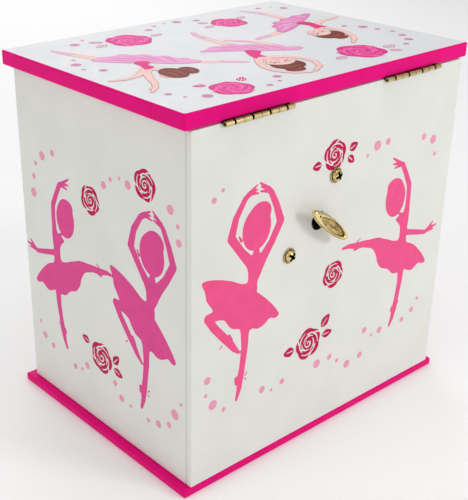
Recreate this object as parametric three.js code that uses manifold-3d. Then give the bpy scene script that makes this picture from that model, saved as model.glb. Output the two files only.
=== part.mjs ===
// Wind-up music box: a paper-covered board case with a hinged lid, three drawers, a jewellery tray with a
// turning dancer, and an eighteen-note movement wound by a key through the back panel.
// Millimetres, +Z up. Front is -Y, back is +Y. The origin is the centre of the case on the base's underside.
import * as THREE from 'three';
import { mergeVertices } from 'three/addons/utils/BufferGeometryUtils.js';
import Module from 'manifold-3d';

const wasm = await Module();
wasm.setup();

// ---------------------------------------------------------------- driving dimensions
const seam = 0.1;                 // gap between glued boards
const caseWidth = 162;
const caseDepth = 121;
const baseThickness = 3.6;
const baseSideOverhang = 3.6;
const baseFrontOverhang = 4;
const baseBackOverhang = 0.2;
const lidUnderside = 163.6;
const lidThickness = 6.5;
const lidSideOverhang = 3.1;
const lidFrontOverhang = 3.8;
const lidBackInset = 0.1;
const caseTop = 163.1;
const sideThickness = 5;
const backThickness = 3;
const frontThickness = 4;
const edgeRound = 0.6;            // rounding of the covered boards

const halfWidth = caseWidth / 2;
const frontY = -caseDepth / 2;
const backY = caseDepth / 2;
const innerHalfWidth = halfWidth - sideThickness;
const panelInnerY = backY - backThickness;

// upper tray
const trayFloorBottom = 121.5;
const trayFloorTop = 124;
const trayBackY = 47.6;
const trayBackThickness = 1.8;
const dividerTop = 150;
const dividerThickness = 2.4;
const crossDividerY = 12.2;
const bayDividerX = 25;
const rollCount = 3;
const rollHeight = 14;
const rollClearance = 0.4;

// drawers
const drawerCount = 3;
const fasciaBottom = 116.9;
const shelfThickness = 3;
const drawerFrontThickness = 5;
const drawerGap = 0.5;
const drawerSideGap = 1.2;
const drawerWall = 2.2;
const drawerHeight = 29;
const drawerBackY = 20;
const innerWallY = 24;
const innerWallThickness = 2.5;
const openingHeight = (fasciaBottom - baseThickness - (drawerCount - 1) * shelfThickness) / drawerCount;

// hinges
const hingeSpacing = 92.5;
const hingeOffset = 1.3;           // the pair sits slightly off centre
const hingeLength = 36.2;
const knuckleCount = 8;
const knuckleRadius = 1.1;
const knuckleBore = 0.6;
const pinRadius = 0.45;
const leafThickness = 0.5;
const leafDepth = 10;
const leafGap = 1.1;              // between one leaf's knuckles and the other's
const slitWidth = 0.25;           // between two knuckles of one leaf
const hingeRailBottom = 152;
const hingeCentre = (side) => hingeOffset + (side * hingeSpacing) / 2;
const hingeAxisY = backY + knuckleRadius + 0.1;
const hingeAxisZ = caseTop - 0.2;

// mirror under the lid
const mirrorWidth = 112;
const mirrorDepth = 72;
const mirrorCentreY = -14;
const mirrorFrameThickness = 2.2;
const mirrorGlassThickness = 1.5;
const mirrorRim = 4;

// movement: the winding axis and the two fixing screws through the back panel
const windingX = 9.7;
const windingZ = 108.5;
const screwUpper = { x: 0.7, z: 126.9 };
const screwLower = { x: 27, z: 97.3 };
const screwShankRadius = 1.3;
const screwShankLength = 9;
const screwClearance = 1.7;       // radius of the screw holes in the back panel
const keyHoleRadius = 4.3;
const bedplateThickness = 1.6;
const bedplate = { x0: -30, x1: 32, z0: 85, z1: 131 };
const bedplateFrontY = panelInnerY - seam - bedplateThickness;
const bossRadius = 3.2;
const bossHeight = 4;
const housingRadius = 12;
const housingWall = 0.8;
const housingFrontY = 45.5;
const arborRadius = 1.6;
const arborFrontY = 36.5;

// winding key
const keyLength = 29.6;
const keyWidth = 6.3;
const keyThickness = 2.2;
const keyAngle = THREE.MathUtils.degToRad(39.5);
const keyFaceY = backY + 8.1;
const keyRecess = { length: 19.4, width: 4.4, depth: 0.7, x: -1.2 };
const keyDimple = { radius: 0.55, depth: 0.8, x: 10.4 };

// gears: one circular pitch for the whole going train
const pitch = 1.92;
const addendumShare = 0.25;       // tooth heights, thickness and flank slope, as shares of the pitch
const dedendumShare = 0.35;
const toothShare = 0.35;
const rootSpread = 0.13;
const tipTaper = 0.09;
const addendum = addendumShare * pitch;
const dedendum = dedendumShare * pitch;
const greatTeeth = 36;
const pinionTeeth = 12;
const cylinderTeeth = 26;
const crownTeeth = 24;
const governorTeeth = 8;
const gearWidth = 1.6;
const crownDiscThickness = 1.5;
const pitchRadius = (teeth) => (teeth * pitch) / (2 * Math.PI);
const greatPitchY = 40.85;
const cylinderAxisY = greatPitchY - pitchRadius(pinionTeeth);
const cylinderRadius = 6.5;
const cylinderX0 = -19.8;
const cylinderX1 = -3.9;
const cylinderGearX = -21.5;
const spindleX = cylinderGearX + pitchRadius(crownTeeth);
const spindleY = cylinderAxisY;
const spindlePitchZ = windingZ + pitchRadius(cylinderTeeth);
const governorZ = windingZ - pitchRadius(cylinderTeeth) - pitchRadius(governorTeeth);

// governor worm
const wormWheelX = -26.9;
const wormWheelTeeth = 12;
const wormWheelRadius = 3.2;
const wormRadius = 1.3;
const wormStarts = 2;
const wormWheelWidth = 1;
const wormY = cylinderAxisY + wormWheelRadius + wormRadius;
const wormPitch = (2 * Math.PI * wormWheelRadius) / wormWheelTeeth;
const wormHeight = wormPitch * 4;
const wormShaft = { radius: 0.5, z0: 86, z1: 106.2 };
const fly = { halfSpan: 2.7, halfThickness: 0.25, z0: 88.4, z1: 92.4 };
const governorFrame = { halfWidth: 1.5, y0: 40, z0: 85.6, z1: 106.5, arm: 2, backY: 47 };

// brackets that carry the cylinder and the governor arbor
const bracketFrontY = 33;
const bracketTop = 113;
const nearBracket = { x0: -3.4, x1: -2.7, z0: 104 };
const endBracket = { x0: -23.9, x1: -22.9, z0: 94.5 };
const cylinderArbor = { radius: 1, bore: 1.2, x0: -24.4, x1: 0.2 };
const governorArbor = { radius: 0.65, bore: 0.85 };

// comb
const combTeeth = 18;
const combTipClearance = 0.9;
const combThickness = 0.8;
const combToothLength = 9;
const combSlot = 0.28;
const combTipZ = windingZ - cylinderRadius - combTipClearance;
const combRootZ = combTipZ - combToothLength;
const combFootZ = bedplate.z0 + 1;
const combSeatY = cylinderAxisY + combThickness + 0.2;
const combScrewX = [-15.8, -7.9];
const combScrewZ = 88.9;
const combScrewBore = 1.1;

// stop rod that the lid holds down
const stopRodX = wormWheelX - 4;
const stopRodRadius = 0.8;
const stopRodFootZ = 88.6;
const stopRodHole = 1.3;

// dancer
const dancerFootZ = 130.4;
const dancerHeight = 32;
const tutuRadius = 9;
const spindleRadius = 1.2;
const spindleHole = 1.6;
const turntableRadius = 9.8;

// ---------------------------------------------------------------- materials
function finish(color, roughness, metalness = 0) {
  return new THREE.MeshStandardMaterial({ color, roughness, metalness });
}
const paperWhite = finish(0xe4e4de, 0.5);
const satinPink = finish(0xe8287d, 0.35);
const tapePink = finish(0xf2a6c8, 0.7);
const velvetPink = finish(0xd9588f, 0.95);
const bareBoard = finish(0xb99a6b, 0.8);
const brass = finish(0xd3b46a, 0.3, 0.9);
const paleBrass = finish(0xd8c688, 0.3, 0.9);
const steel = finish(0xb8bcc0, 0.35, 0.9);
const springSteel = finish(0x6f7680, 0.4, 0.9);
const whiteNylon = finish(0xf2f0e8, 0.45);
const mirrorGlass = finish(0xdfe6ea, 0.05, 1);
const tulle = finish(0xf6b6d0, 0.85);
const dancerPlastic = finish(0xf2cdb4, 0.5);

// ---------------------------------------------------------------- solids
function toSolid(geometry) {
  const bare = geometry.clone();
  bare.deleteAttribute('normal');
  bare.deleteAttribute('uv');
  const merged = mergeVertices(bare, 1e-4);
  const mesh = new wasm.Mesh({
    numProp: 3,
    vertProperties: Float32Array.from(merged.attributes.position.array),
    triVerts: Uint32Array.from(merged.index.array),
  });
  return new wasm.Manifold(mesh);
}

function toGeometry(solid) {
  const mesh = solid.getMesh();
  const geometry = new THREE.BufferGeometry();
  geometry.setAttribute('position', new THREE.BufferAttribute(mesh.vertProperties, 3));
  geometry.setIndex(new THREE.BufferAttribute(mesh.triVerts, 1));
  geometry.computeVertexNormals();
  return geometry;
}

function cut(body, ...tools) {
  return toGeometry(tools.reduce((solid, tool) => solid.subtract(toSolid(tool)), toSolid(body)));
}

function join(...pieces) {
  return toGeometry(pieces.map(toSolid).reduce((solid, piece) => solid.add(piece)));
}

// A plain box between two corners.
function block(x0, x1, y0, y1, z0, z1) {
  const box = new THREE.BoxGeometry(x1 - x0, y1 - y0, z1 - z0);
  return box.translate((x0 + x1) / 2, (y0 + y1) / 2, (z0 + z1) / 2);
}

// A board between two corners with every edge rounded.
function board(x0, x1, y0, y1, z0, z1, round = edgeRound) {
  const corner = 0.15;
  const w = (x1 - x0) / 2 - round;
  const d = (y1 - y0) / 2 - round;
  const outline = new THREE.Shape();
  outline.moveTo(-w + corner, -d);
  outline.lineTo(w - corner, -d);
  outline.quadraticCurveTo(w, -d, w, -d + corner);
  outline.lineTo(w, d - corner);
  outline.quadraticCurveTo(w, d, w - corner, d);
  outline.lineTo(-w + corner, d);
  outline.quadraticCurveTo(-w, d, -w, d - corner);
  outline.lineTo(-w, -d + corner);
  outline.quadraticCurveTo(-w, -d, -w + corner, -d);
  const solid = new THREE.ExtrudeGeometry(outline, {
    depth: z1 - z0 - 2 * round,
    bevelThickness: round,
    bevelSize: round,
    bevelSegments: 3,
    curveSegments: 2,
  });
  return solid.translate((x0 + x1) / 2, (y0 + y1) / 2, z0 + round);
}

// Round bars along each axis, between two stations.
function rodX(radius, x0, x1, y, z, sides = 16) {
  const rod = new THREE.CylinderGeometry(radius, radius, x1 - x0, sides);
  return rod.rotateZ(Math.PI / 2).translate((x0 + x1) / 2, y, z);
}

function rodY(radius, y0, y1, x, z, sides = 16) {
  return new THREE.CylinderGeometry(radius, radius, y1 - y0, sides).translate(x, (y0 + y1) / 2, z);
}

function rodZ(radius, z0, z1, x, y, sides = 16) {
  const rod = new THREE.CylinderGeometry(radius, radius, z1 - z0, sides);
  return rod.rotateX(Math.PI / 2).translate(x, y, (z0 + z1) / 2);
}

// A turned piece: [radius, height] pairs about the Y axis.
function turned(profile, sides = 24) {
  return new THREE.LatheGeometry(profile.map(([r, h]) => new THREE.Vector2(r, h)), sides);
}

function circlePath(radius, sides) {
  const path = new THREE.Path();
  for (let i = 0; i < sides; i += 1) {
    const angle = (-2 * Math.PI * i) / sides;
    const x = radius * Math.cos(angle);
    const y = radius * Math.sin(angle);
    if (i === 0) path.moveTo(x, y);
    else path.lineTo(x, y);
  }
  return path;
}

// A spur gear in the XY plane, thickness along +Z, with the middle of a tooth or of a gap at toothAngle.
function spurGear(teeth, width, toothAngle, boreRadius, circularPitch = pitch, share = toothShare) {
  const radius = (teeth * circularPitch) / (2 * Math.PI);
  const root = radius - dedendumShare * circularPitch;
  const tip = radius + addendumShare * circularPitch;
  const step = (2 * Math.PI) / teeth;
  const rootHalf = step * (share / 2 + rootSpread);
  const tipHalf = step * (share / 2 - tipTaper);
  const outline = new THREE.Shape();
  for (let i = 0; i < teeth; i += 1) {
    const centre = toothAngle + i * step;
    const corners = [[root, -rootHalf], [tip, -tipHalf], [tip, tipHalf], [root, rootHalf]];
    corners.forEach(([r, offset], k) => {
      const x = r * Math.cos(centre + offset);
      const y = r * Math.sin(centre + offset);
      if (i === 0 && k === 0) outline.moveTo(x, y);
      else outline.lineTo(x, y);
    });
  }
  if (boreRadius > 0) outline.holes.push(circlePath(boreRadius, 12));
  return new THREE.ExtrudeGeometry(outline, { depth: width, bevelEnabled: false });
}

// A crown wheel about +Z: a disc from z=0 up, with face teeth hanging below it. A gap faces gapAngle.
function crownWheel(teeth, boreRadius, discThickness, gapAngle) {
  const radius = pitchRadius(teeth);
  const disc = new THREE.Shape();
  disc.absarc(0, 0, radius + 1, 0, 2 * Math.PI);
  disc.holes.push(circlePath(boreRadius, 12));
  const discOptions = { depth: discThickness, bevelEnabled: false, curveSegments: 12 };
  const pieces = [new THREE.ExtrudeGeometry(disc, discOptions)];
  const drop = addendum + dedendum;
  const toothWidth = 1.9;
  const buried = 0.2;
  const tipHalf = pitch * (toothShare / 2 - tipTaper);
  const rootHalf = pitch * (toothShare / 2 + rootSpread);
  const tooth = new THREE.Shape();
  tooth.moveTo(-rootHalf, buried);
  tooth.lineTo(-tipHalf, -drop);
  tooth.lineTo(tipHalf, -drop);
  tooth.lineTo(rootHalf, buried);
  for (let i = 0; i < teeth; i += 1) {
    const angle = gapAngle + ((i + 0.5) * 2 * Math.PI) / teeth;
    const prism = new THREE.ExtrudeGeometry(tooth, { depth: toothWidth, bevelEnabled: false });
    prism.rotateX(Math.PI / 2).translate(0, radius + toothWidth / 2, 0).rotateZ(angle - Math.PI / 2);
    pieces.push(prism);
  }
  return join(...pieces);
}

// ---------------------------------------------------------------- scene graph
const musicBox = new THREE.Group();

function add(name, geometry, material) {
  const mesh = new THREE.Mesh(geometry, material);
  mesh.name = name;
  musicBox.add(mesh);
}

// ---------------------------------------------------------------- case
function hingePocket(side, z0, z1) {
  const centre = hingeCentre(side);
  const half = hingeLength / 2 + 0.3;
  return block(centre - half, centre + half, backY - leafDepth - 0.4, backY + 1, z0, z1);
}

function addCase() {
  add('base_board', board(-halfWidth - baseSideOverhang, halfWidth + baseSideOverhang,
    frontY - baseFrontOverhang, backY + baseBackOverhang, 0, baseThickness), satinPink);
  for (const [name, side] of [['right_side_panel', 1], ['left_side_panel', -1]]) {
    const outer = side * halfWidth;
    const inner = side * innerHalfWidth;
    add(name, board(Math.min(outer, inner), Math.max(outer, inner), frontY, panelInnerY - seam,
      baseThickness + seam, caseTop), paperWhite);
  }
  const leafPockets = [1, -1].map((side) => hingePocket(side, caseTop - leafThickness - 0.2, caseTop + 1));
  const backHoles = [
    rodY(keyHoleRadius, panelInnerY - 1, backY + 1, windingX, windingZ, 24),
    rodY(screwClearance, panelInnerY - 1, backY + 1, screwUpper.x, screwUpper.z),
    rodY(screwClearance, panelInnerY - 1, backY + 1, screwLower.x, screwLower.z),
  ];
  add('back_panel', cut(board(-halfWidth, halfWidth, panelInnerY, backY, baseThickness + seam, caseTop),
    ...backHoles, ...leafPockets), paperWhite);
  add('front_fascia', board(-innerHalfWidth + seam, innerHalfWidth - seam, frontY, frontY + frontThickness,
    fasciaBottom, caseTop), paperWhite);
  const rail = block(-innerHalfWidth + seam, innerHalfWidth - seam, trayBackY + trayBackThickness + seam,
    panelInnerY - seam, hingeRailBottom, caseTop);
  add('hinge_rail', cut(rail, ...leafPockets), bareBoard);
}

function addInnerBoards() {
  const x = innerHalfWidth - seam;
  const trayFront = frontY + frontThickness + seam;
  const floor = block(-x, x, trayFront, trayBackY - seam, trayFloorBottom, trayFloorTop);
  add('tray_floor', cut(floor, rodZ(spindleHole, trayFloorBottom - 1, trayFloorTop + 1, spindleX, spindleY),
    rodZ(stopRodHole, trayFloorBottom - 1, trayFloorTop + 1, stopRodX, wormY)), tapePink);
  add('tray_back_wall', block(-x, x, trayBackY, trayBackY + trayBackThickness, trayFloorBottom,
    caseTop), tapePink);
  add('tray_cross_divider', block(-x, x, crossDividerY - dividerThickness / 2,
    crossDividerY + dividerThickness / 2, trayFloorTop + seam, dividerTop), velvetPink);
  for (const [name, side] of [['tray_right_divider', 1], ['tray_left_divider', -1]]) {
    const centre = side * bayDividerX;
    add(name, block(centre - dividerThickness / 2, centre + dividerThickness / 2, trayFront,
      crossDividerY - dividerThickness / 2 - seam, trayFloorTop + seam, dividerTop), velvetPink);
  }
  add('inner_back_wall', block(-x, x, innerWallY, innerWallY + innerWallThickness, baseThickness + seam,
    trayFloorBottom - seam), bareBoard);
}

function addRingRolls() {
  const halfBay = bayDividerX - dividerThickness / 2 - rollClearance;
  const bayFront = frontY + frontThickness + rollClearance;
  const rollWidth = (crossDividerY - dividerThickness / 2 - rollClearance - bayFront) / rollCount;
  for (let i = 0; i < rollCount; i += 1) {
    const section = new THREE.Shape();
    const half = (rollWidth - rollClearance) / 2;
    section.moveTo(-half, 0);
    section.lineTo(half, 0);
    section.bezierCurveTo(half, rollHeight * 1.3, -half, rollHeight * 1.3, -half, 0);
    const roll = new THREE.ExtrudeGeometry(section, {
      depth: 2 * halfBay,
      bevelEnabled: false,
      curveSegments: 10,
    });
    roll.rotateX(Math.PI / 2).rotateZ(Math.PI / 2);
    roll.translate(-halfBay, bayFront + rollWidth * (i + 0.5), trayFloorTop + 0.3);
    add(`ring_roll_${i + 1}`, roll, velvetPink);
  }
}

// ---------------------------------------------------------------- drawers
function addDrawers() {
  const names = ['lower', 'middle', 'upper'];
  names.forEach((name, row) => {
    const floor = baseThickness + row * (openingHeight + shelfThickness);
    const ceiling = floor + openingHeight;
    if (row < drawerCount - 1) {
      add(`${name}_shelf`, block(-innerHalfWidth + seam, innerHalfWidth - seam, frontY + 0.3,
        innerWallY - seam, ceiling + seam, ceiling + shelfThickness - seam), paperWhite);
    }
    const frontHalf = innerHalfWidth - drawerGap;
    add(`${name}_drawer_front`, board(-frontHalf, frontHalf, frontY, frontY + drawerFrontThickness,
      floor + drawerGap, ceiling - drawerGap), paperWhite);
    const trayHalf = innerHalfWidth - drawerSideGap;
    const trayFloorZ = floor + drawerGap + 0.3;
    const trayY0 = frontY + drawerFrontThickness + seam;
    const shell = block(-trayHalf, trayHalf, trayY0, drawerBackY, trayFloorZ, trayFloorZ + drawerHeight);
    const hollow = block(-trayHalf + drawerWall, trayHalf - drawerWall, trayY0 + drawerWall,
      drawerBackY - drawerWall, trayFloorZ + drawerWall, trayFloorZ + drawerHeight + 1);
    add(`${name}_drawer_tray`, cut(shell, hollow), tapePink);
    const knob = turned([[0, 0], [4.2, 0], [4.2, 0.8], [2.2, 1.6], [2, 3.6], [3.2, 4.8], [5.2, 6.4],
      [5.8, 8.2], [5.2, 10], [3.4, 11.2], [0, 11.6]], 16);
    knob.rotateX(Math.PI).translate(0, frontY - seam, (floor + ceiling) / 2);
    add(`${name}_drawer_knob`, knob, paleBrass);
  });
}

// ---------------------------------------------------------------- lid
function addLid() {
  const pocketTop = lidUnderside + leafThickness + 0.2;
  const pockets = [1, -1].map((side) => hingePocket(side, lidUnderside - 1, pocketTop));
  const lid = board(-halfWidth - lidSideOverhang, halfWidth + lidSideOverhang, frontY - lidFrontOverhang,
    backY - lidBackInset, lidUnderside, lidUnderside + lidThickness);
  add('lid_board', cut(lid, ...pockets), satinPink);
  const top = lidUnderside - seam;
  const y0 = mirrorCentreY - mirrorDepth / 2;
  const y1 = mirrorCentreY + mirrorDepth / 2;
  const x = mirrorWidth / 2;
  const frame = board(-x, x, y0, y1, top - mirrorFrameThickness, top, 0.5);
  const sight = block(-x + mirrorRim, x - mirrorRim, y0 + mirrorRim, y1 - mirrorRim, top - 5, top + 1);
  add('mirror_frame', cut(frame, sight), paleBrass);
  const edge = mirrorRim + seam;
  const glass = block(-x + edge, x - edge, y0 + edge, y1 - edge, top - mirrorGlassThickness, top);
  add('mirror', glass, mirrorGlass);
}

// ---------------------------------------------------------------- hinges
// Eight knuckles: the first, the middle pair and the last belong to the case leaf.
const caseKnuckles = [0, 3, 4, 7];
const leafGapCount = 4;
const slitCount = 3;
const knuckleLength = (hingeLength - leafGapCount * leafGap - slitCount * slitWidth) / knuckleCount;

function hingeLeaf(side, knuckles, plateZ) {
  const centre = hingeCentre(side);
  const start = centre - hingeLength / 2;
  const plateTop = plateZ + leafThickness;
  const pieces = [block(start, start + hingeLength, backY - leafDepth, backY - 0.2, plateZ, plateTop)];
  for (const index of knuckles) {
    const wideGaps = Math.ceil(index / 2);
    const x0 = start + index * knuckleLength + wideGaps * leafGap + (index - wideGaps) * slitWidth;
    const x1 = x0 + knuckleLength;
    const ring = new THREE.Shape();
    ring.absarc(0, 0, knuckleRadius, 0, 2 * Math.PI);
    ring.holes.push(circlePath(knuckleBore, 8));
    const knuckle = new THREE.ExtrudeGeometry(ring, {
      depth: x1 - x0,
      bevelEnabled: false,
      curveSegments: 7,
    });
    knuckle.rotateY(Math.PI / 2).translate(x0, hingeAxisY, hingeAxisZ);
    pieces.push(knuckle);
    pieces.push(block(x0, x1, backY - 0.3, hingeAxisY - knuckleBore - 0.1, plateZ, plateTop));
  }
  return join(...pieces);
}

function addHinges() {
  const lidKnuckles = [...Array(knuckleCount).keys()].filter((index) => !caseKnuckles.includes(index));
  for (const [name, side] of [['right', 1], ['left', -1]]) {
    add(`${name}_hinge_case_leaf`, hingeLeaf(side, caseKnuckles, caseTop - leafThickness), brass);
    add(`${name}_hinge_lid_leaf`, hingeLeaf(side, lidKnuckles, lidUnderside + 0.05), brass);
    const centre = hingeCentre(side);
    add(`${name}_hinge_pin`, rodX(pinRadius, centre - hingeLength / 2, centre + hingeLength / 2,
      hingeAxisY, hingeAxisZ, 10), steel);
  }
}

// ---------------------------------------------------------------- fixings
// A pan-head screw with a flange and a cross recess, pointing along -Y, its flange resting at y = 0.
function panHeadScrew(shankRadius, shankLength, sides) {
  const scale = shankRadius / screwShankRadius;
  const profile = [[0, -shankLength], [shankRadius, -shankLength], [shankRadius, 0], [3.5 * scale, 0],
    [3.5 * scale, 0.45 * scale], [2.9 * scale, 0.7 * scale], [2.7 * scale, 1.4 * scale],
    [2.2 * scale, 1.95 * scale], [1.4 * scale, 2.3 * scale], [0, 2.4 * scale]];
  const arm = 1.55 * scale;
  const slot = 0.4 * scale;
  const low = 1.2 * scale;
  const high = 3 * scale;
  return cut(turned(profile, sides), block(-arm, arm, low, high, -slot, slot),
    block(-slot, slot, low, high, -arm, arm));
}

function addMovementScrews() {
  const screws = [['movement_screw_upper', screwUpper, 0.35], ['movement_screw_lower', screwLower, 0.9]];
  for (const [name, place, turn] of screws) {
    const screw = panHeadScrew(screwShankRadius, screwShankLength, 24).rotateY(turn);
    add(name, screw.translate(place.x, backY + seam, place.z), brass);
  }
}

// ---------------------------------------------------------------- winding key
// An oval with blunt pointed ends, lying in XY along X.
function leafOutline(length, width, sides) {
  const outline = new THREE.Shape();
  for (let i = 0; i < sides; i += 1) {
    const angle = (2 * Math.PI * i) / sides;
    const taper = 1 - 0.16 * Math.cos(angle) ** 2;
    const x = (length / 2) * Math.cos(angle);
    const y = (width / 2) * Math.sin(angle) * taper;
    if (i === 0) outline.moveTo(x, y);
    else outline.lineTo(x, y);
  }
  return outline;
}

function addWindingKey() {
  const bevel = 0.4;
  const plate = new THREE.ExtrudeGeometry(leafOutline(keyLength - 2 * bevel, keyWidth - 2 * bevel, 28), {
    depth: keyThickness - 2 * bevel,
    bevelThickness: bevel,
    bevelSize: bevel,
    bevelSegments: 2,
  });
  const recess = new THREE.ExtrudeGeometry(leafOutline(keyRecess.length, keyRecess.width, 24), {
    depth: 2,
    bevelEnabled: false,
  });
  recess.translate(keyRecess.x, 0, keyThickness - bevel - keyRecess.depth);
  const { radius, depth } = keyDimple;
  const dimple = turned([[0, -depth], [radius, -depth], [radius, 1], [0, 1]], 8);
  dimple.rotateX(Math.PI / 2).translate(keyDimple.x, 0, keyThickness - bevel);
  const stem = turned([[0, -7.3], [2.5, -7.3], [2.5, -2.2], [3, -0.6], [3, 0.2], [0, 0.2]], 16);
  stem.rotateX(Math.PI / 2);
  const key = cut(join(plate, stem), recess, dimple);
  key.rotateZ(-keyAngle).rotateX(-Math.PI / 2);
  key.translate(windingX, keyFaceY - keyThickness + bevel, windingZ);
  const bore = rodY(arborRadius + 0.15, backY - 6, backY + 3, windingX, windingZ);
  add('winding_key', cut(key, bore), paleBrass);
}

// ---------------------------------------------------------------- movement
function addBedplate() {
  const plate = block(bedplate.x0, bedplate.x1, bedplateFrontY, panelInnerY - seam, bedplate.z0, bedplate.z1);
  const bossFront = bedplateFrontY - bossHeight;
  const screws = [screwUpper, screwLower];
  const bosses = screws.map(({ x, z }) => rodY(bossRadius, bossFront, bedplateFrontY + 1, x, z));
  const bores = screws.map(({ x, z }) => rodY(screwShankRadius + 0.2, bossFront - 2, backY, x, z));
  const seat = block(cylinderX0, cylinderX1, combSeatY, bedplateFrontY + 0.5, combFootZ, combRootZ - 0.5);
  const arborHole = rodY(2 * arborRadius, bedplateFrontY - 1, backY, windingX, windingZ);
  const combBores = combScrewX.map((x) => (
    rodY(combScrewBore, combSeatY - 1, combSeatY + 6, x, combScrewZ, 12)
  ));
  add('bedplate', cut(join(plate, ...bosses, seat), ...bores, arborHole, ...combBores), steel);
}

function addComb() {
  const toothPitch = (cylinderX1 - cylinderX0) / combTeeth;
  const rootStep = 0.12;          // each longer tooth's root lies this much lower
  const outline = new THREE.Shape();
  outline.moveTo(cylinderX0, combFootZ);
  outline.lineTo(cylinderX1, combFootZ);
  for (let i = combTeeth - 1; i >= 0; i -= 1) {
    const left = cylinderX0 + i * toothPitch + combSlot / 2;
    const right = left + toothPitch - combSlot;
    const root = combRootZ + rootStep * i;
    outline.lineTo(right, root);
    outline.lineTo(right, combTipZ);
    outline.lineTo(left, combTipZ);
    outline.lineTo(left, root);
  }
  for (const x of combScrewX) {
    const hole = new THREE.Path();
    hole.absarc(x, combScrewZ, combScrewBore, 0, 2 * Math.PI, true);
    outline.holes.push(hole);
  }
  const comb = new THREE.ExtrudeGeometry(outline, {
    depth: combThickness,
    bevelEnabled: false,
    curveSegments: 6,
  });
  comb.rotateX(Math.PI / 2).translate(0, cylinderAxisY + combThickness, 0);
  add('comb', comb, springSteel);
  combScrewX.forEach((x, i) => {
    const screw = panHeadScrew(0.9, 4.4, 10).rotateX(Math.PI);
    add(`comb_screw_${i + 1}`, screw.translate(x, cylinderAxisY - 0.1, combScrewZ), brass);
  });
}

function addMainspring() {
  const outer = housingRadius - housingWall;
  const hole = arborRadius + 0.3;
  const depth = bedplateFrontY - housingFrontY - seam;
  const cup = turned([[hole, 0], [housingRadius, 0], [housingRadius, depth], [outer, depth],
    [outer, housingWall], [hole, housingWall], [hole, 0]], 20);
  add('spring_housing', cup.translate(windingX, housingFrontY, windingZ), steel);

  const turns = 4;
  const stepsPerTurn = 12;
  const thickness = 0.5;
  const inner = arborRadius + 1.2;
  const growth = (outer - 0.6 - inner - thickness) / turns;
  const spiral = new THREE.Shape();
  const steps = turns * stepsPerTurn;
  const place = (i, extra) => {
    const angle = (2 * Math.PI * i) / stepsPerTurn;
    const r = inner + (growth * i) / stepsPerTurn + extra;
    return [r * Math.cos(angle), r * Math.sin(angle)];
  };
  spiral.moveTo(...place(0, 0));
  for (let i = 1; i <= steps; i += 1) spiral.lineTo(...place(i, 0));
  for (let i = steps; i >= 0; i -= 1) spiral.lineTo(...place(i, thickness));
  const strip = new THREE.ExtrudeGeometry(spiral, { depth: 6.5, bevelEnabled: false });
  strip.rotateX(-Math.PI / 2).translate(windingX, housingFrontY + housingWall + 1, windingZ);
  add('mainspring', strip, springSteel);
}

function addGreatWheel() {
  const collar = { radius: arborRadius + 0.8, y0: housingFrontY + 1.7, y1: housingFrontY + 7.5 };
  const arbor = join(rodY(arborRadius, arborFrontY, backY + 2.6, windingX, windingZ),
    rodY(collar.radius, collar.y0, collar.y1, windingX, windingZ));
  add('winding_arbor', arbor, steel);
  const wheel = crownWheel(greatTeeth, arborRadius + 0.15, crownDiscThickness, -Math.PI);
  wheel.rotateX(-Math.PI / 2).translate(windingX, greatPitchY + dedendum, windingZ);
  add('great_wheel', wheel, brass);
}

function addCylinder() {
  const pieces = [
    rodX(cylinderRadius, cylinderX0, cylinderX1, cylinderAxisY, windingZ, 24),
    rodX(cylinderArbor.radius, cylinderArbor.x0, cylinderArbor.x1, cylinderAxisY, windingZ),
  ];
  const pinion = spurGear(pinionTeeth, gearWidth, 0, 0);
  const pinionX = windingX - pitchRadius(greatTeeth);
  pinion.rotateY(Math.PI / 2).rotateX(Math.PI / 2);
  pinion.translate(pinionX - gearWidth / 2, cylinderAxisY, windingZ);
  pieces.push(pinion);
  const notePitch = (cylinderX1 - cylinderX0) / combTeeth;
  const pinStations = 29;         // angular places round the cylinder, seven apart from note to note
  for (let note = 0; note < combTeeth; note += 1) {
    const x = cylinderX0 + (note + 0.5) * notePitch;
    const angle = (note * 7 * 2 * Math.PI) / pinStations;
    const pin = block(x - 0.2, x + 0.2, -0.2, 0.2, cylinderRadius - 0.3, cylinderRadius + 0.5);
    pieces.push(pin.rotateX(angle).translate(0, cylinderAxisY, windingZ));
  }
  add('pinned_cylinder', join(...pieces), brass);
  const gear = spurGear(cylinderTeeth, gearWidth, Math.PI / 2, 1.15);
  gear.rotateZ(-Math.PI / 2).rotateY(Math.PI / 2);
  add('cylinder_gear', gear.translate(cylinderGearX - gearWidth / 2, cylinderAxisY, windingZ), brass);
}

function addBrackets() {
  for (const [name, plate] of [['near_bracket', nearBracket], ['end_bracket', endBracket]]) {
    const tab = block(plate.x0, plate.x1, bracketFrontY, bedplateFrontY - seam, plate.z0, bracketTop);
    const bores = [
      rodX(cylinderArbor.bore, plate.x0 - 1, plate.x1 + 1, cylinderAxisY, windingZ),
      rodX(governorArbor.bore, plate.x0 - 1, plate.x1 + 1, cylinderAxisY, governorZ),
    ];
    add(name, cut(tab, ...bores), steel);
  }
}

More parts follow.
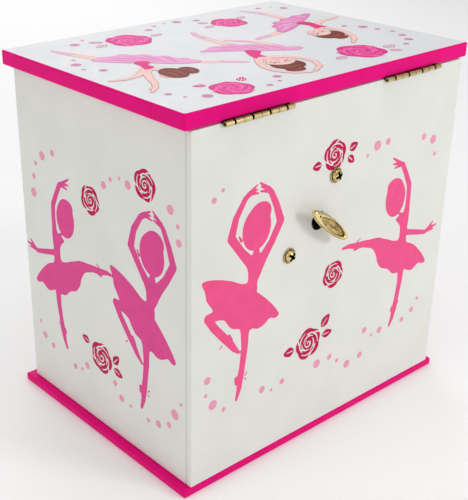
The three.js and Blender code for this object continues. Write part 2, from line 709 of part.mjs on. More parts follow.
// A worm about +Z from z = 0 to height: the radius follows a ridge that climbs with the angle.
function wormSolid(height) {
  const coreRadius = wormRadius - 0.45;
  const threadDepth = 0.7;
  const around = 12;
  const rows = 20;
  const lead = wormPitch * wormStarts;
  const positions = [];
  for (let row = 0; row <= rows; row += 1) {
    const z = (height * row) / rows;
    for (let i = 0; i < around; i += 1) {
      const angle = (2 * Math.PI * i) / around;
      const phase = wormStarts * (angle - (2 * Math.PI * z) / lead);
      const r = coreRadius + threadDepth * Math.max(0, Math.cos(phase)) ** 2;
      positions.push(r * Math.cos(angle), r * Math.sin(angle), z);
    }
  }
  positions.push(0, 0, 0, 0, 0, height);
  const bottom = (rows + 1) * around;
  const top = bottom + 1;
  const index = [];
  for (let i = 0; i < around; i += 1) {
    const j = (i + 1) % around;
    for (let row = 0; row < rows; row += 1) {
      const a = row * around + i;
      const b = row * around + j;
      index.push(a, b, b + around, a, b + around, a + around);
    }
    index.push(bottom, j, i, top, rows * around + i, rows * around + j);
  }
  const geometry = new THREE.BufferGeometry();
  geometry.setAttribute('position', new THREE.Float32BufferAttribute(positions, 3));
  geometry.setIndex(index);
  return geometry;
}

function addGovernor() {
  const { halfWidth: half, y0, z0, z1, arm, backY: bridgeY } = governorFrame;
  const frame = block(wormWheelX - half, wormWheelX + half, y0, bedplateFrontY - seam, z0, z1);
  const gap = block(wormWheelX - half - 1, wormWheelX + half + 1, y0 - 1, bridgeY, z0 + arm, z1 - arm);
  const bore = rodZ(wormShaft.radius + 0.25, z0 - 1, z1 + 1, wormWheelX, wormY, 12);
  add('governor_frame', cut(frame, gap, bore), brass);

  const pinion = spurGear(governorTeeth, gearWidth, Math.PI / governorTeeth, 0);
  pinion.rotateY(Math.PI / 2).translate(cylinderGearX - gearWidth / 2, cylinderAxisY, governorZ);
  const wheel = spurGear(wormWheelTeeth, wormWheelWidth, 0, 0, wormPitch, 0.3);
  wheel.rotateY(Math.PI / 2).rotateX(Math.PI / 2);
  wheel.translate(wormWheelX - wormWheelWidth / 2, cylinderAxisY, governorZ);
  const arbor = rodX(governorArbor.radius, wormWheelX - 1, cylinderGearX + 1.4, cylinderAxisY, governorZ, 12);
  add('governor_wheel', join(arbor, pinion, wheel), whiteNylon);

  const worm = wormSolid(wormHeight).translate(0, 0, governorZ - wormHeight / 2);
  const shaft = rodZ(wormShaft.radius, wormShaft.z0, wormShaft.z1, 0, 0, 10);
  const blade = block(-fly.halfSpan, fly.halfSpan, -fly.halfThickness, fly.halfThickness, fly.z0, fly.z1);
  add('fly_worm', join(worm, shaft, blade).translate(wormWheelX, wormY, 0), steel);
}

// ---------------------------------------------------------------- dancer
function addDancerDrive() {
  const crownZ = spindlePitchZ + dedendum;
  add('dancer_spindle', rodZ(spindleRadius, crownZ - 0.2, trayFloorTop + 3.4, spindleX, spindleY), steel);
  const bore = spindleRadius + 0.15;
  const crown = crownWheel(crownTeeth, bore, crownDiscThickness, Math.PI);
  add('spindle_crown', crown.translate(spindleX, spindleY, crownZ), whiteNylon);
  const disc = turned([[bore, 0], [turntableRadius, 0], [turntableRadius, 0.9], [turntableRadius - 0.7, 1.5],
    [3.4, 1.5], [3.4, 2.2], [bore, 2.2], [bore, 0]], 24);
  disc.rotateX(Math.PI / 2).translate(spindleX, spindleY, trayFloorTop + 0.5);
  add('turntable', disc, satinPink);
}

function addDancerSpring() {
  const radius = 2.1;
  const wireRadius = 0.3;
  const turns = 3;
  const stepsPerTurn = 12;
  const low = trayFloorTop + 3.2;
  const high = dancerFootZ - 0.5;
  const points = [];
  for (let i = 0; i <= turns * stepsPerTurn; i += 1) {
    const angle = (2 * Math.PI * i) / stepsPerTurn;
    const x = spindleX + radius * Math.cos(angle);
    const y = spindleY + radius * Math.sin(angle);
    points.push(new THREE.Vector3(x, y, low + ((high - low) * i) / (turns * stepsPerTurn)));
  }
  const wire = new THREE.Shape();
  wire.absarc(0, 0, wireRadius, 0, 2 * Math.PI);
  const coil = new THREE.ExtrudeGeometry(wire, {
    steps: turns * 10,
    extrudePath: new THREE.CatmullRomCurve3(points),
    curveSegments: 3,
  });
  add('dancer_spring', coil, steel);
}

// A limb: a tapered bar between two points in the dancer's own XZ plane.
function limb(x0, z0, x1, z1, r0, r1) {
  const length = Math.hypot(x1 - x0, z1 - z0);
  const bar = new THREE.CylinderGeometry(r1, r0, length, 6);
  bar.translate(0, length / 2, 0).rotateX(Math.PI / 2);
  bar.rotateY(Math.atan2(x1 - x0, z1 - z0));
  return bar.translate(x0, 0, z0);
}

function ball(x, z, radius) {
  return new THREE.SphereGeometry(radius, 7, 5).translate(x, 0, z);
}

function addDancer() {
  const h = dancerHeight;
  const discThickness = 0.9;
  const footZ = dancerFootZ + discThickness;
  const knee = 0.3 * h;
  const hip = 0.47 * h;
  const shoulder = 0.7 * h;
  const elbow = 0.83 * h;
  const pieces = [
    rodZ(2.6, -discThickness, 0.1, 0, 0, 12),
    limb(0, 0, 0, 0.25 * h, 0.75, 0.95),
    limb(0, 0.24 * h, 0, hip, 0.9, 1.5),
    limb(0.6, hip, 3.4, knee, 1.2, 0.9),
    limb(3.4, knee, 0.9, 0.2 * h, 0.9, 0.6),
    ball(3.4, knee, 0.95),
    limb(0, hip - 0.2, 0, 0.58 * h, 1.7, 1.25),
    limb(0, 0.57 * h, 0, shoulder, 1.25, 1.9),
    ball(0, shoulder, 1.75),
    limb(0, shoulder, 0, 0.8 * h, 0.75, 0.75),
    ball(0, 0.84 * h, 2.1),
    ball(0, 0.91 * h, 1.1),
  ];
  for (const side of [1, -1]) {
    pieces.push(limb(1.7 * side, shoulder, 4.2 * side, elbow, 0.7, 0.6));
    pieces.push(limb(4.2 * side, elbow, side, 0.98 * h, 0.6, 0.45));
    pieces.push(ball(4.2 * side, elbow, 0.62));
  }
  const figure = join(...pieces);
  add('dancer_figure', figure.translate(spindleX, spindleY, footZ), dancerPlastic);
  const waist = footZ + 0.5 * h;
  const skirt = turned([[2.2, 0.6], [tutuRadius, -0.9], [tutuRadius, -0.5], [2.2, 1.4], [2.2, 0.6]], 20);
  add('dancer_tutu', skirt.rotateX(Math.PI / 2).translate(spindleX, spindleY, waist), tulle);
}

// ---------------------------------------------------------------- lid-operated stop
function addStopRod() {
  const rod = rodZ(stopRodRadius, stopRodFootZ, lidUnderside - 0.3, stopRodX, wormY, 12);
  const catchBlock = block(stopRodX - stopRodRadius, stopRodX + 1, wormY - 1, wormY + 1,
    stopRodFootZ + 0.2, stopRodFootZ + 2.4);
  add('stop_rod', join(rod, catchBlock), steel);
}

addCase();
addInnerBoards();
addRingRolls();
addDrawers();
addLid();
addHinges();
addMovementScrews();
addWindingKey();
addBedplate();
addComb();
addMainspring();
addGreatWheel();
addCylinder();
addBrackets();
addGovernor();
addDancerDrive();
addDancerSpring();
addDancer();
addStopRod();

export default musicBox;
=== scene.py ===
"""The wind-up music box's looks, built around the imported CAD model.

Printed designs are thin layers of ink laid on the boards. Each design is drawn in print units:
the case between the base and the lid is PRINT_HEIGHT of them tall.
"""
import math

import bmesh
import bpy
import numpy as np
from mathutils import Matrix, Vector, noise
from mathutils.geometry import delaunay_2d_cdt


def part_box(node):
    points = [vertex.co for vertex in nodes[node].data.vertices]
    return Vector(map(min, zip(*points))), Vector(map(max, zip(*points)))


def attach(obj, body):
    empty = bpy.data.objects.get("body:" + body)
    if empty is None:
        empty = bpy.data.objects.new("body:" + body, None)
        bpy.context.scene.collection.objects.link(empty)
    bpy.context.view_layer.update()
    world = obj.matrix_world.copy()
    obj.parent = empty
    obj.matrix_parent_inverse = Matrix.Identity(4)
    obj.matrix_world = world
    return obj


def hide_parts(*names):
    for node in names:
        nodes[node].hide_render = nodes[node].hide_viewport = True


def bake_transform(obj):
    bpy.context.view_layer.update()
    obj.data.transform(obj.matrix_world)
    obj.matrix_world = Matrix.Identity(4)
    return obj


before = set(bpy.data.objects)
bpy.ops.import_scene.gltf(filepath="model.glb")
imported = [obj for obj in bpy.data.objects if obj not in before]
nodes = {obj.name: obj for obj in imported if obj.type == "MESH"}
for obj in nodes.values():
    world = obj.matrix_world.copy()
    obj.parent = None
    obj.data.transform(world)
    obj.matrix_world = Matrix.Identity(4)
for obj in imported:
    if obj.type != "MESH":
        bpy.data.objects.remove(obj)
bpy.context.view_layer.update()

MM = 0.001
PRINT_HEIGHT = 180
back_low, back_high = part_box("back_panel")
lid_low, lid_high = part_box("lid_board")
base_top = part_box("base_board")[1].z
CASE_HEIGHT = lid_low.z - base_top
UNIT = CASE_HEIGHT / PRINT_HEIGHT


def add_object(name, data):
    made = bpy.data.objects.new(name, data)
    bpy.context.scene.collection.objects.link(made)
    return made


def middle_of(low, high):
    return (low + high) / 2


# ---------------------------------------------------------------- camera, light and floor
CAMERA_AZIMUTH, CAMERA_ELEVATION = math.radians(139.53), math.radians(25.57)
CAMERA_DISTANCE, CAMERA_ASIDE, CAMERA_DOWN = 2.989, 0.1454, 0.1004      # in case heights
CAMERA_LENS, CAMERA_SHIFT = 71.34, (0.0908, 0.016)
LIGHTS = (                        # name, place, height it aims at over the middle, side, watts
    ("window_light", (-0.42, 0.95, 0.46), 0.1, 0.3, 3.6),
    ("side_softbox", (1.1, -0.1, 0.6), 0.08, 0.8, 2.8),
    ("top_softbox", (0, 0.1, 1.2), 0.16, 0.9, 2.9),
    ("front_fill", (-0.5, -1.0, 0.7), 0.08, 0.9, 3.6),
)
SKY = ((0.1, 0.68), (0.75, 1))    # upward share of the direction and grey: the wall, then the ceiling
SKY_STRENGTH = 0.56
FLOOR_HALF, FLOOR_GREY = 3, 0.97


def face_along(obj, direction):
    obj.rotation_mode = "QUATERNION"
    obj.rotation_quaternion = direction.to_track_quat("-Z", "Y")


def make_camera():
    data = bpy.data.cameras.new("camera")
    data.sensor_width = 36
    data.lens = CAMERA_LENS
    data.shift_x, data.shift_y = CAMERA_SHIFT
    data.clip_start, data.clip_end = 0.01, 20
    camera = add_object("camera", data)
    back = Vector((math.sin(CAMERA_AZIMUTH) * math.cos(CAMERA_ELEVATION),
                   -math.cos(CAMERA_AZIMUTH) * math.cos(CAMERA_ELEVATION),
                   math.sin(CAMERA_ELEVATION)))
    right = (-back).cross(Vector((0, 0, 1))).normalized()
    up = right.cross(-back)
    offset = back * CAMERA_DISTANCE - right * CAMERA_ASIDE - up * CAMERA_DOWN
    camera.location = Vector((0, 0, base_top + CASE_HEIGHT / 2)) + offset * CASE_HEIGHT
    face_along(camera, -back)
    bpy.context.scene.camera = camera


def make_world():
    """Studio surroundings: a dim wall at eye level that brightens towards the ceiling."""
    world = bpy.data.worlds.new("studio")
    bpy.context.scene.world = world
    world.use_nodes = True
    tree, links = world.node_tree.nodes, world.node_tree.links
    direction = tree.new("ShaderNodeTexCoord")
    height = tree.new("ShaderNodeSeparateXYZ")
    ramp = tree.new("ShaderNodeValToRGB")
    links.new(direction.outputs["Generated"], height.inputs[0])
    links.new(height.outputs["Z"], ramp.inputs[0])
    links.new(ramp.outputs["Color"], tree["Background"].inputs["Color"])
    for element, (position, grey) in zip(ramp.color_ramp.elements, SKY):
        element.position, element.color = position, (grey, grey, grey, 1)
    tree["Background"].inputs["Strength"].default_value = SKY_STRENGTH


def make_stage():
    bpy.context.scene.view_settings.view_transform = "Standard"
    make_world()
    for name, place, target_z, size, watts in LIGHTS:
        data = bpy.data.lights.new(name, "AREA")
        data.shape = "RECTANGLE"
        data.size, data.size_y = size, size
        data.energy = watts
        light = add_object(name, data)
        light.location = place
        face_along(light, Vector((0, 0, target_z)) - light.location)
    floor = bpy.data.meshes.new("floor")
    half = FLOOR_HALF
    floor.from_pydata([(-half, -half, 0), (half, -half, 0), (half, half, 0), (-half, half, 0)],
                      [], [(0, 1, 2, 3)])
    stage = add_object("floor", floor)
    stage.location.z = -0.02 * MM
    paper = Surface("floor_paper", 0.75)
    paper.set(Base_Color=(FLOOR_GREY, FLOOR_GREY, FLOOR_GREY, 1))
    floor.materials.append(paper.material)


# ---------------------------------------------------------------- materials
def linear(colour):
    """An sRGB colour, 0 to 255 each, as linear light."""
    return tuple(c / 255 / 12.92 if c <= 10 else ((c / 255 + 0.055) / 1.055) ** 2.4 for c in colour)


def shade_of(colour, share):
    return tuple(c * share for c in colour)


class Surface:
    """A Principled material with its nodes worked out in object space."""

    def __init__(self, name, roughness, metallic=0.0):
        self.material = bpy.data.materials.new(name)
        self.material.use_nodes = True
        self.tree = self.material.node_tree
        self.shader = self.tree.nodes["Principled BSDF"]
        self.set(Roughness=roughness, Metallic=metallic)
        self.place = self.node("ShaderNodeTexCoord").outputs["Object"]

    def set(self, **values):
        """Numbers and colours on the shader's own sockets, with _ for a space in their names."""
        for key, value in values.items():
            self.shader.inputs[key.replace("_", " ")].default_value = value

    def node(self, kind, inputs=(), **settings):
        made = self.tree.nodes.new(kind)
        for key, value in settings.items():
            setattr(made, key, value)
        for key, value in dict(inputs).items():
            made.inputs[key].default_value = value
        return made

    def link(self, source, target):
        self.tree.links.new(source, target)

    def stretched(self, scale):
        mapping = self.node("ShaderNodeMapping", {"Scale": scale})
        self.link(self.place, mapping.inputs["Vector"])
        return mapping.outputs["Vector"]

    def noise(self, scale, detail, vector=None):
        made = self.node("ShaderNodeTexNoise", {"Scale": scale, "Detail": detail})
        self.link(vector or self.place, made.inputs["Vector"])
        return made.outputs["Fac"]

    def mix(self, fac, first, second):
        made = self.node("ShaderNodeMix", data_type="RGBA")
        self.link(fac, made.inputs["Factor"])
        for socket, value in ((made.inputs[6], first), (made.inputs[7], second)):
            if isinstance(value, tuple):
                socket.default_value = (*value, 1)
            else:
                self.link(value, socket)
        return made.outputs[2]

    def ramp(self, fac, low, high, to_low=0.0, to_high=1.0):
        made = self.node("ShaderNodeMapRange", {"From Min": low, "From Max": high,
                                                "To Min": to_low, "To Max": to_high})
        self.link(fac, made.inputs["Value"])
        return made.outputs["Result"]

    def colour(self, source):
        self.link(source, self.shader.inputs["Base Color"])

    def rough(self, source):
        self.link(source, self.shader.inputs["Roughness"])

    def crevice(self, distance):
        """1 on open surfaces, towards 0 in corners and gaps."""
        return self.node("ShaderNodeAmbientOcclusion", {"Distance": distance}, samples=8).outputs["AO"]

    def bump(self, height, strength, distance):
        """Adds to the bumps that the shader already has."""
        made = self.node("ShaderNodeBump", {"Strength": strength, "Distance": distance})
        normal = self.shader.inputs["Normal"]
        self.link(height, made.inputs["Height"])
        if normal.links:
            self.link(normal.links[0].from_socket, made.inputs["Normal"])
        self.link(made.outputs["Normal"], normal)


def mottled(name, colour, roughness, shade, grain, bumps, spread=(0.3, 0.7), gloss=None, stretch=None,
            **inputs):
    """A surface whose colour drifts to a darker shade in patches.

    grain is the patches' noise as (scale, detail), and spread is the part of it that drifts. Each bump is
    (scale, detail, strength, depth in mm), and gloss is (scale, detail, lowest and highest roughness).
    """
    s = Surface(name, roughness)
    base = linear(colour)
    vector = s.stretched(stretch) if stretch else None
    s.colour(s.mix(s.ramp(s.noise(*grain, vector), *spread), shade_of(base, shade), base))
    if gloss:
        s.rough(s.ramp(s.noise(*gloss[:2]), 0.3, 0.7, *gloss[2:]))
    for scale, detail, strength, depth in bumps:
        s.bump(s.noise(scale, detail, vector), strength, depth * MM)
    s.set(**inputs)
    return s.material


def paper_material(name, colour, roughness=0.42):
    """Art paper glued on board: faint mottling, a fine tooth and a long soft waviness."""
    return mottled(name, colour, roughness, 0.955, (45, 4), ((1400, 2, 0.18, 0.06), (180, 2, 0.25, 0.12)),
                   (0.35, 0.65), (220, 2, roughness - 0.06, roughness + 0.08))


def satin_material(name, colour):
    """Coated board or cloth: even colour, satin gloss, a little roller texture."""
    return mottled(name, colour, 0.34, 0.9, (60, 3), ((700, 2, 0.12, 0.08),), gloss=(300, 3, 0.3, 0.42),
                   Specular_IOR_Level=0.06)


def ink_material(name, colour, shade=0.93):
    """Printed ink: it takes a little of the paper's tooth and varies slightly in depth."""
    return mottled(name, colour, 0.5, shade, (160, 4), ((1400, 2, 0.15, 0.05),), (0.35, 0.65),
                   Specular_IOR_Level=0.14)


def board_material(name, colour):
    """Raw fibreboard: short pressed fibres."""
    return mottled(name, colour, 0.8, 0.6, (900, 4), ((900, 4, 0.4, 0.1),), stretch=(1, 1, 5))


def plastic_material(name, colour, roughness=0.4):
    return mottled(name, colour, roughness, 0.93, (300, 2), ((900, 2, 0.06, 0.05),))


def metal_material(name, colour, roughness, tarnish=0.75, grain=1.0, reach=1.2, exposed=0.85):
    """Plated metal: fine scratches, slight tarnish in patches, and painted shade in corners and gaps nearer
    than reach mm.
    """
    s = Surface(name, roughness, 1.0)
    base = linear(colour)
    worn = s.mix(s.ramp(s.noise(350, 4), 0.45, 0.75), base, shade_of(base, tarnish))
    # Painted shade: where corners and gaps hide the surface, the colour falls towards 0.12 of itself.
    s.colour(s.mix(s.ramp(s.crevice(reach * MM), exposed - 0.5, exposed), shade_of(base, 0.12), worn))
    streaks = s.noise(900, 2, s.stretched((1, 6, 1)))
    s.rough(s.ramp(streaks, 0.3, 0.7, roughness * 0.8, roughness * 1.35))
    s.bump(s.noise(2200 * grain, 2), 0.15, 0.05 * MM)
    return s.material


def mirror_material(name):
    s = Surface(name, 0.02, 1.0)
    s.colour(s.mix(s.ramp(s.noise(60, 3), 0.4, 0.7), (0.93, 0.95, 0.96), (0.88, 0.91, 0.92)))
    s.rough(s.ramp(s.noise(120, 3), 0.5, 0.8, 0.01, 0.05))
    return s.material


PAPER = paper_material("printed_paper", (229, 229, 223))
SHELF_PAPER = paper_material("shelf_paper", (232, 231, 226))
LID_PAPER = paper_material("lid_print_paper", (226, 227, 229), 0.5)
LINING_PAPER = paper_material("lid_lining_paper", (246, 190, 214), 0.5)
SATIN_BASE = satin_material("base_satin_pink", (236, 4, 124))
SATIN_LID = satin_material("lid_satin_pink", (236, 0, 126))
# Reach and exposed set how far and how deep each metal's painted shade goes into corners and gaps, widest
# between the hinge's knuckles.
BRASS = metal_material("hinge_brass", (208, 190, 136), 0.26, 0.7, 1.0, 2.4, 0.9)
SCREW_BRASS = metal_material("screw_brass", (226, 204, 142), 0.16)
PALE_BRASS = metal_material("antique_pale_brass", (221, 204, 142), 0.3, 0.8)
KEY_BRASS = metal_material("polished_pale_brass", (236, 216, 158), 0.2, 0.85, 0.3)
AGED_BRASS = metal_material("aged_recess_brass", (206, 178, 116), 0.42, 0.45, 0.5, 0.6, 0.95)
# Painted shade: the key's stem and the insides of the screws' cross recesses are painted near black where
# they lie in shadow.
SHADE_BRASS = metal_material("brass_painted_as_shade", (30, 25, 16), 0.45, 0.6)
# Painted shade: the hinge pins and the winding arbor are painted near black where they lie in shadow.
SHADE_STEEL = metal_material("steel_painted_as_shade", (34, 33, 34), 0.45, 0.6)
STEEL = metal_material("bright_steel", (196, 198, 202), 0.28)
SPRING_STEEL = metal_material("blued_spring_steel", (110, 118, 132), 0.3)
VELVET = mottled("pink_velvet", (226, 92, 154), 0.9, 0.8, (130, 5), ((3000, 3, 0.5, 0.25),),
                 Sheen_Weight=0.8, Sheen_Roughness=0.4, Sheen_Tint=(1, 0.85, 0.92, 1))
LINING = mottled("pink_flock_lining", (246, 178, 208), 0.85, 0.9, (1500, 4), ((4000, 2, 0.4, 0.12),),
                 Sheen_Weight=0.4, Sheen_Roughness=0.5)
TULLE = mottled("pink_tulle", (248, 182, 214), 0.7, 0.85, (1800, 2), ((1800, 2, 0.6, 0.15),), (0.4, 0.6),
                Sheen_Weight=0.5, Sheen_Roughness=0.4, Alpha=0.86)
RAW_BOARD = board_material("raw_fibreboard", (176, 142, 96))
# A dark copy of the raw board: painted shade on the walls of the back panel's holes.
HOLE_BOARD = board_material("shaded_fibreboard", (46, 36, 28))
NYLON = plastic_material("white_nylon", (240, 238, 230))
MIRROR = mirror_material("silvered_glass")

SKIN = plastic_material("doll_plastic", (244, 206, 184), 0.42)
TIGHTS = plastic_material("painted_tights", (246, 214, 206), 0.5)
HAIR = plastic_material("painted_hair", (104, 56, 38), 0.45)
FACE_PAINT = plastic_material("face_paint", (84, 42, 44), 0.4)
LIP_PAINT = plastic_material("lip_paint", (214, 62, 96), 0.35)
BODICE = satin_material("bodice_satin", (232, 46, 134))
SHOE_SATIN = satin_material("slipper_satin", (238, 120, 176))

SILHOUETTE_BACK = ink_material("silhouette_pink_back", (244, 84, 142))
# The sides' ink is a darker, more magenta copy of the back's; its darkness is painted shade of the less lit
# sides.
SILHOUETTE_SHADED_SIDE = ink_material("silhouette_pink_side_shaded", (228, 74, 147))
ROSE_INK = ink_material("rose_crimson_ink", (194, 0, 80))
DOT_INK = ink_material("dot_pale_pink_ink", (238, 160, 188))

NODE_LOOKS = {
    PAPER: "right_side_panel left_side_panel back_panel front_fascia lower_drawer_front"
           " middle_drawer_front upper_drawer_front",
    SHELF_PAPER: "lower_shelf middle_shelf",
    SATIN_BASE: "base_board turntable",
    SATIN_LID: "lid_board",
    LINING: "tray_floor tray_back_wall lower_drawer_tray middle_drawer_tray upper_drawer_tray",
    VELVET: "tray_cross_divider tray_left_divider tray_right_divider ring_roll_1 ring_roll_2 ring_roll_3",
    RAW_BOARD: "inner_back_wall hinge_rail",
    BRASS: "right_hinge_case_leaf left_hinge_case_leaf right_hinge_lid_leaf left_hinge_lid_leaf"
           " great_wheel pinned_cylinder cylinder_gear governor_frame",
    SCREW_BRASS: "movement_screw_upper movement_screw_lower comb_screw_1 comb_screw_2",
    PALE_BRASS: "winding_key mirror_frame lower_drawer_knob middle_drawer_knob upper_drawer_knob",
    # hinge pins and winding arbor: painted near black as shade
    SHADE_STEEL: "right_hinge_pin left_hinge_pin winding_arbor",
    STEEL: "bedplate spring_housing near_bracket end_bracket fly_worm dancer_spindle dancer_spring"
           " stop_rod",
    SPRING_STEEL: "mainspring comb",
    NYLON: "spindle_crown governor_wheel",
    MIRROR: "mirror",
    SKIN: "dancer_figure",
    TULLE: "dancer_tutu",
}
SHARP_EDGE = 32                   # degrees between faces
HOLE_REACH = 5 * MM               # the back panel's holes lie nearer than this to their axes


def dress_nodes():
    for material, names in NODE_LOOKS.items():
        for name in names.split():
            mesh = nodes[name].data
            mesh.materials.clear()
            mesh.materials.append(material)
            mesh.shade_smooth()
            mesh.set_sharp_from_angle(angle=math.radians(SHARP_EDGE))


def bare_hole_edges():
    """The holes through the back panel show bare board, not printed paper, darkened as painted shade."""
    panel = nodes["back_panel"].data
    panel.materials.append(HOLE_BOARD)
    for name in ("winding_arbor", "movement_screw_upper", "movement_screw_lower"):
        axis = middle_of(*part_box(name))
        for polygon in panel.polygons:
            away = math.hypot(polygon.center.x - axis.x, polygon.center.z - axis.z)
            if away < HOLE_REACH and abs(polygon.normal.y) < 0.5:
                polygon.material_index = 1


# ---------------------------------------------------------------- drawing: fields in print units
FAR = 1e9
CURVE_STEPS = 6


def to_segment(x, y, x0, y0, x1, y1):
    """Distance to a straight line from one point to the other, and how far along it, 0 to 1."""
    dx, dy = x1 - x0, y1 - y0
    along = np.clip(((x - x0) * dx + (y - y0) * dy) / (dx * dx + dy * dy), 0, 1)
    return np.hypot(x - x0 - along * dx, y - y0 - along * dy), along


def chain(*points):
    """A limb: round joints (x, y, radius) with straight sides between them."""
    def field(x, y):
        best = np.full(x.shape, FAR)
        for (x0, y0, r0), (x1, y1, r1) in zip(points, points[1:]):
            distance, along = to_segment(x, y, x0, y0, x1, y1)
            best = np.minimum(best, distance - r0 - along * (r1 - r0))
        return best
    return field


def chains(*limbs):
    return tuple(chain(*limb) for limb in limbs)


def oval(cx, cy, rx, ry, turn=0.0):
    c, s = math.cos(math.radians(turn)), math.sin(math.radians(turn))

    def field(x, y):
        u = (x - cx) * c + (y - cy) * s
        v = (y - cy) * c - (x - cx) * s
        return (np.hypot(u / rx, v / ry) - 1) * min(rx, ry)
    return field


def smooth_outline(points):
    """A closed Catmull-Rom curve through the points."""
    p = np.array(points, float)
    t = (np.arange(CURVE_STEPS) / CURVE_STEPS)[None, :, None]
    a, b, c, d = (np.roll(p, shift, 0)[:, None, :] for shift in (1, 0, -1, -2))
    curve = 0.5 * (2 * b + (c - a) * t + (2 * a - 5 * b + 4 * c - d) * t ** 2
                   + (3 * b - a - 3 * c + d) * t ** 3)
    return curve.reshape(-1, 2)


def blob(*points):
    """The inside of a smooth closed curve through the points."""
    ring = smooth_outline(points)

    def field(x, y):
        best = np.full(x.shape, FAR)
        inside = np.zeros(x.shape, bool)
        for (x0, y0), (x1, y1) in zip(ring, np.roll(ring, -1, 0)):
            best = np.minimum(best, to_segment(x, y, x0, y0, x1, y1)[0])
            if y0 != y1:
                crosses = (y0 > y) != (y1 > y)
                inside ^= crosses & (x < x0 + (y - y0) * (x1 - x0) / (y1 - y0))
        return np.where(inside, -best, best)
    return field


def union(*fields, blend=0.0):
    """Fields joined, with fillets of about the blend's size where they meet."""
    def field(x, y):
        total = fields[0](x, y)
        for other in fields[1:]:
            value = other(x, y)
            if blend > 0:
                h = np.clip(0.5 + 0.5 * (value - total) / blend, 0, 1)
                total = value * (1 - h) + total * h - blend * h * (1 - h)
            else:
                total = np.minimum(total, value)
        return total
    return field


def grown(body, by):
    return lambda x, y: body(x, y) - by


def minus(body, tool):
    return lambda x, y: np.maximum(body(x, y), -tool(x, y))


def moved(field, dx, dy):
    return lambda x, y: field(x - dx, y - dy)


def mirrored_about(field, centre):
    return lambda x, y: field(2 * centre - x, y)


def rounded_rectangle(x0, x1, y0, y1, corner):
    def field(x, y):
        dx = np.abs(x - (x0 + x1) / 2) - (x1 - x0) / 2 + corner
        dy = np.abs(y - (y0 + y1) / 2) - (y1 - y0) / 2 + corner
        outside = np.hypot(np.maximum(dx, 0), np.maximum(dy, 0))
        return outside + np.minimum(np.maximum(dx, dy), 0) - corner
    return field


# ---------------------------------------------------------------- drawing: fields to solid layers
CELL_STEPS = {                    # the sides of a grid cell that a contour joins, for each corner code
    1: ("SW",), 2: ("ES",), 3: ("EW",), 4: ("NE",), 5: ("SW", "NE"), 6: ("NS",), 7: ("NW",), 8: ("WN",),
    9: ("SN",), 10: ("ES", "WN"), 11: ("EN",), 12: ("WE",), 13: ("SE",), 14: ("WS",),
}


def contour_loops(values, xs, ys):
    """Closed loops round the grid's negative cells, with the inside on the left."""
    following, spots = {}, {}

    def spot(i, j, k, m):
        key = (i, j, k, m)
        if key not in spots:
            share = values[j, i] / (values[j, i] - values[m, k])
            spots[key] = (xs[i] + share * (xs[k] - xs[i]), ys[j] + share * (ys[m] - ys[j]))
        return key

    inside = values < 0
    code = inside[:-1, :-1] * 1 + inside[:-1, 1:] * 2 + inside[1:, 1:] * 4 + inside[1:, :-1] * 8
    for j, i in zip(*np.nonzero((code > 0) & (code < 15))):
        sides = {"S": (i, j, i + 1, j), "E": (i + 1, j, i + 1, j + 1),
                 "N": (i, j + 1, i + 1, j + 1), "W": (i, j, i, j + 1)}
        for start, end in CELL_STEPS[int(code[j, i])]:
            following[spot(*sides[start])] = spot(*sides[end])
    loops = []
    while following:
        first, key = next(iter(following.items()))
        del following[first]
        loop = [spots[first]]
        while key != first:
            loop.append(spots[key])
            key = following.pop(key)
        loops.append(loop)
    return loops


def thinned(loop, tolerance):
    """The loop without the points that lie within tolerance of the line through their neighbours."""
    points = np.array(loop)
    keep = np.zeros(len(points), bool)
    far = int(np.argmax(np.hypot(*(points - points[0]).T)))
    keep[[0, far]] = True
    spans = [(0, far), (far, len(points))]
    while spans:
        a, b = spans.pop()
        if b - a < 2:
            continue
        line = points[b % len(points)] - points[a]
        length = np.hypot(*line)
        offset = points[a + 1:b] - points[a]
        if length < 1e-9:
            distance = np.hypot(*offset.T)
        else:
            distance = np.abs(line[0] * offset[:, 1] - line[1] * offset[:, 0]) / length
        worst = int(np.argmax(distance))
        if distance[worst] > tolerance:
            k = a + 1 + worst
            keep[k] = True
            spans += [(a, k), (k, b)]
    return points[keep]


def ink_solid(field, region, step):
    """The field's inside as flat triangles, in print units: the points in use and the triangles."""
    x0, x1, y0, y1 = region
    xs, ys = np.arange(x0, x1 + step, step), np.arange(y0, y1 + step, step)
    values = field(*np.meshgrid(xs, ys))
    values[np.abs(values) < 1e-6] = 1e-6
    for border in (values[0], values[-1], values[:, 0], values[:, -1]):
        np.maximum(border, 1e-3, out=border)
    points, edges = [], []
    for loop in contour_loops(values, xs, ys):
        ring = thinned(loop, step * 0.12)
        if len(ring) < 3:
            continue
        first = len(points)
        points += [Vector(p) for p in ring]
        edges += [(first + k, first + (k + 1) % len(ring)) for k in range(len(ring))]
    made, _, faces, *_ = delaunay_2d_cdt(points, edges, [], 0, 1e-7)
    corners, triangles = np.array([tuple(p) for p in made]), np.array(faces)
    centres = corners[triangles].mean(1)
    kept = triangles[field(centres[:, 0], centres[:, 1]) < 0]
    used, renumbered = np.unique(kept, return_inverse=True)
    return corners[used], renumbered.reshape(kept.shape)


def finished(name, mesh, body):
    """A mesh as a named piece that rides on the body."""
    piece = add_object(name, mesh)
    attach(piece, body)
    return piece


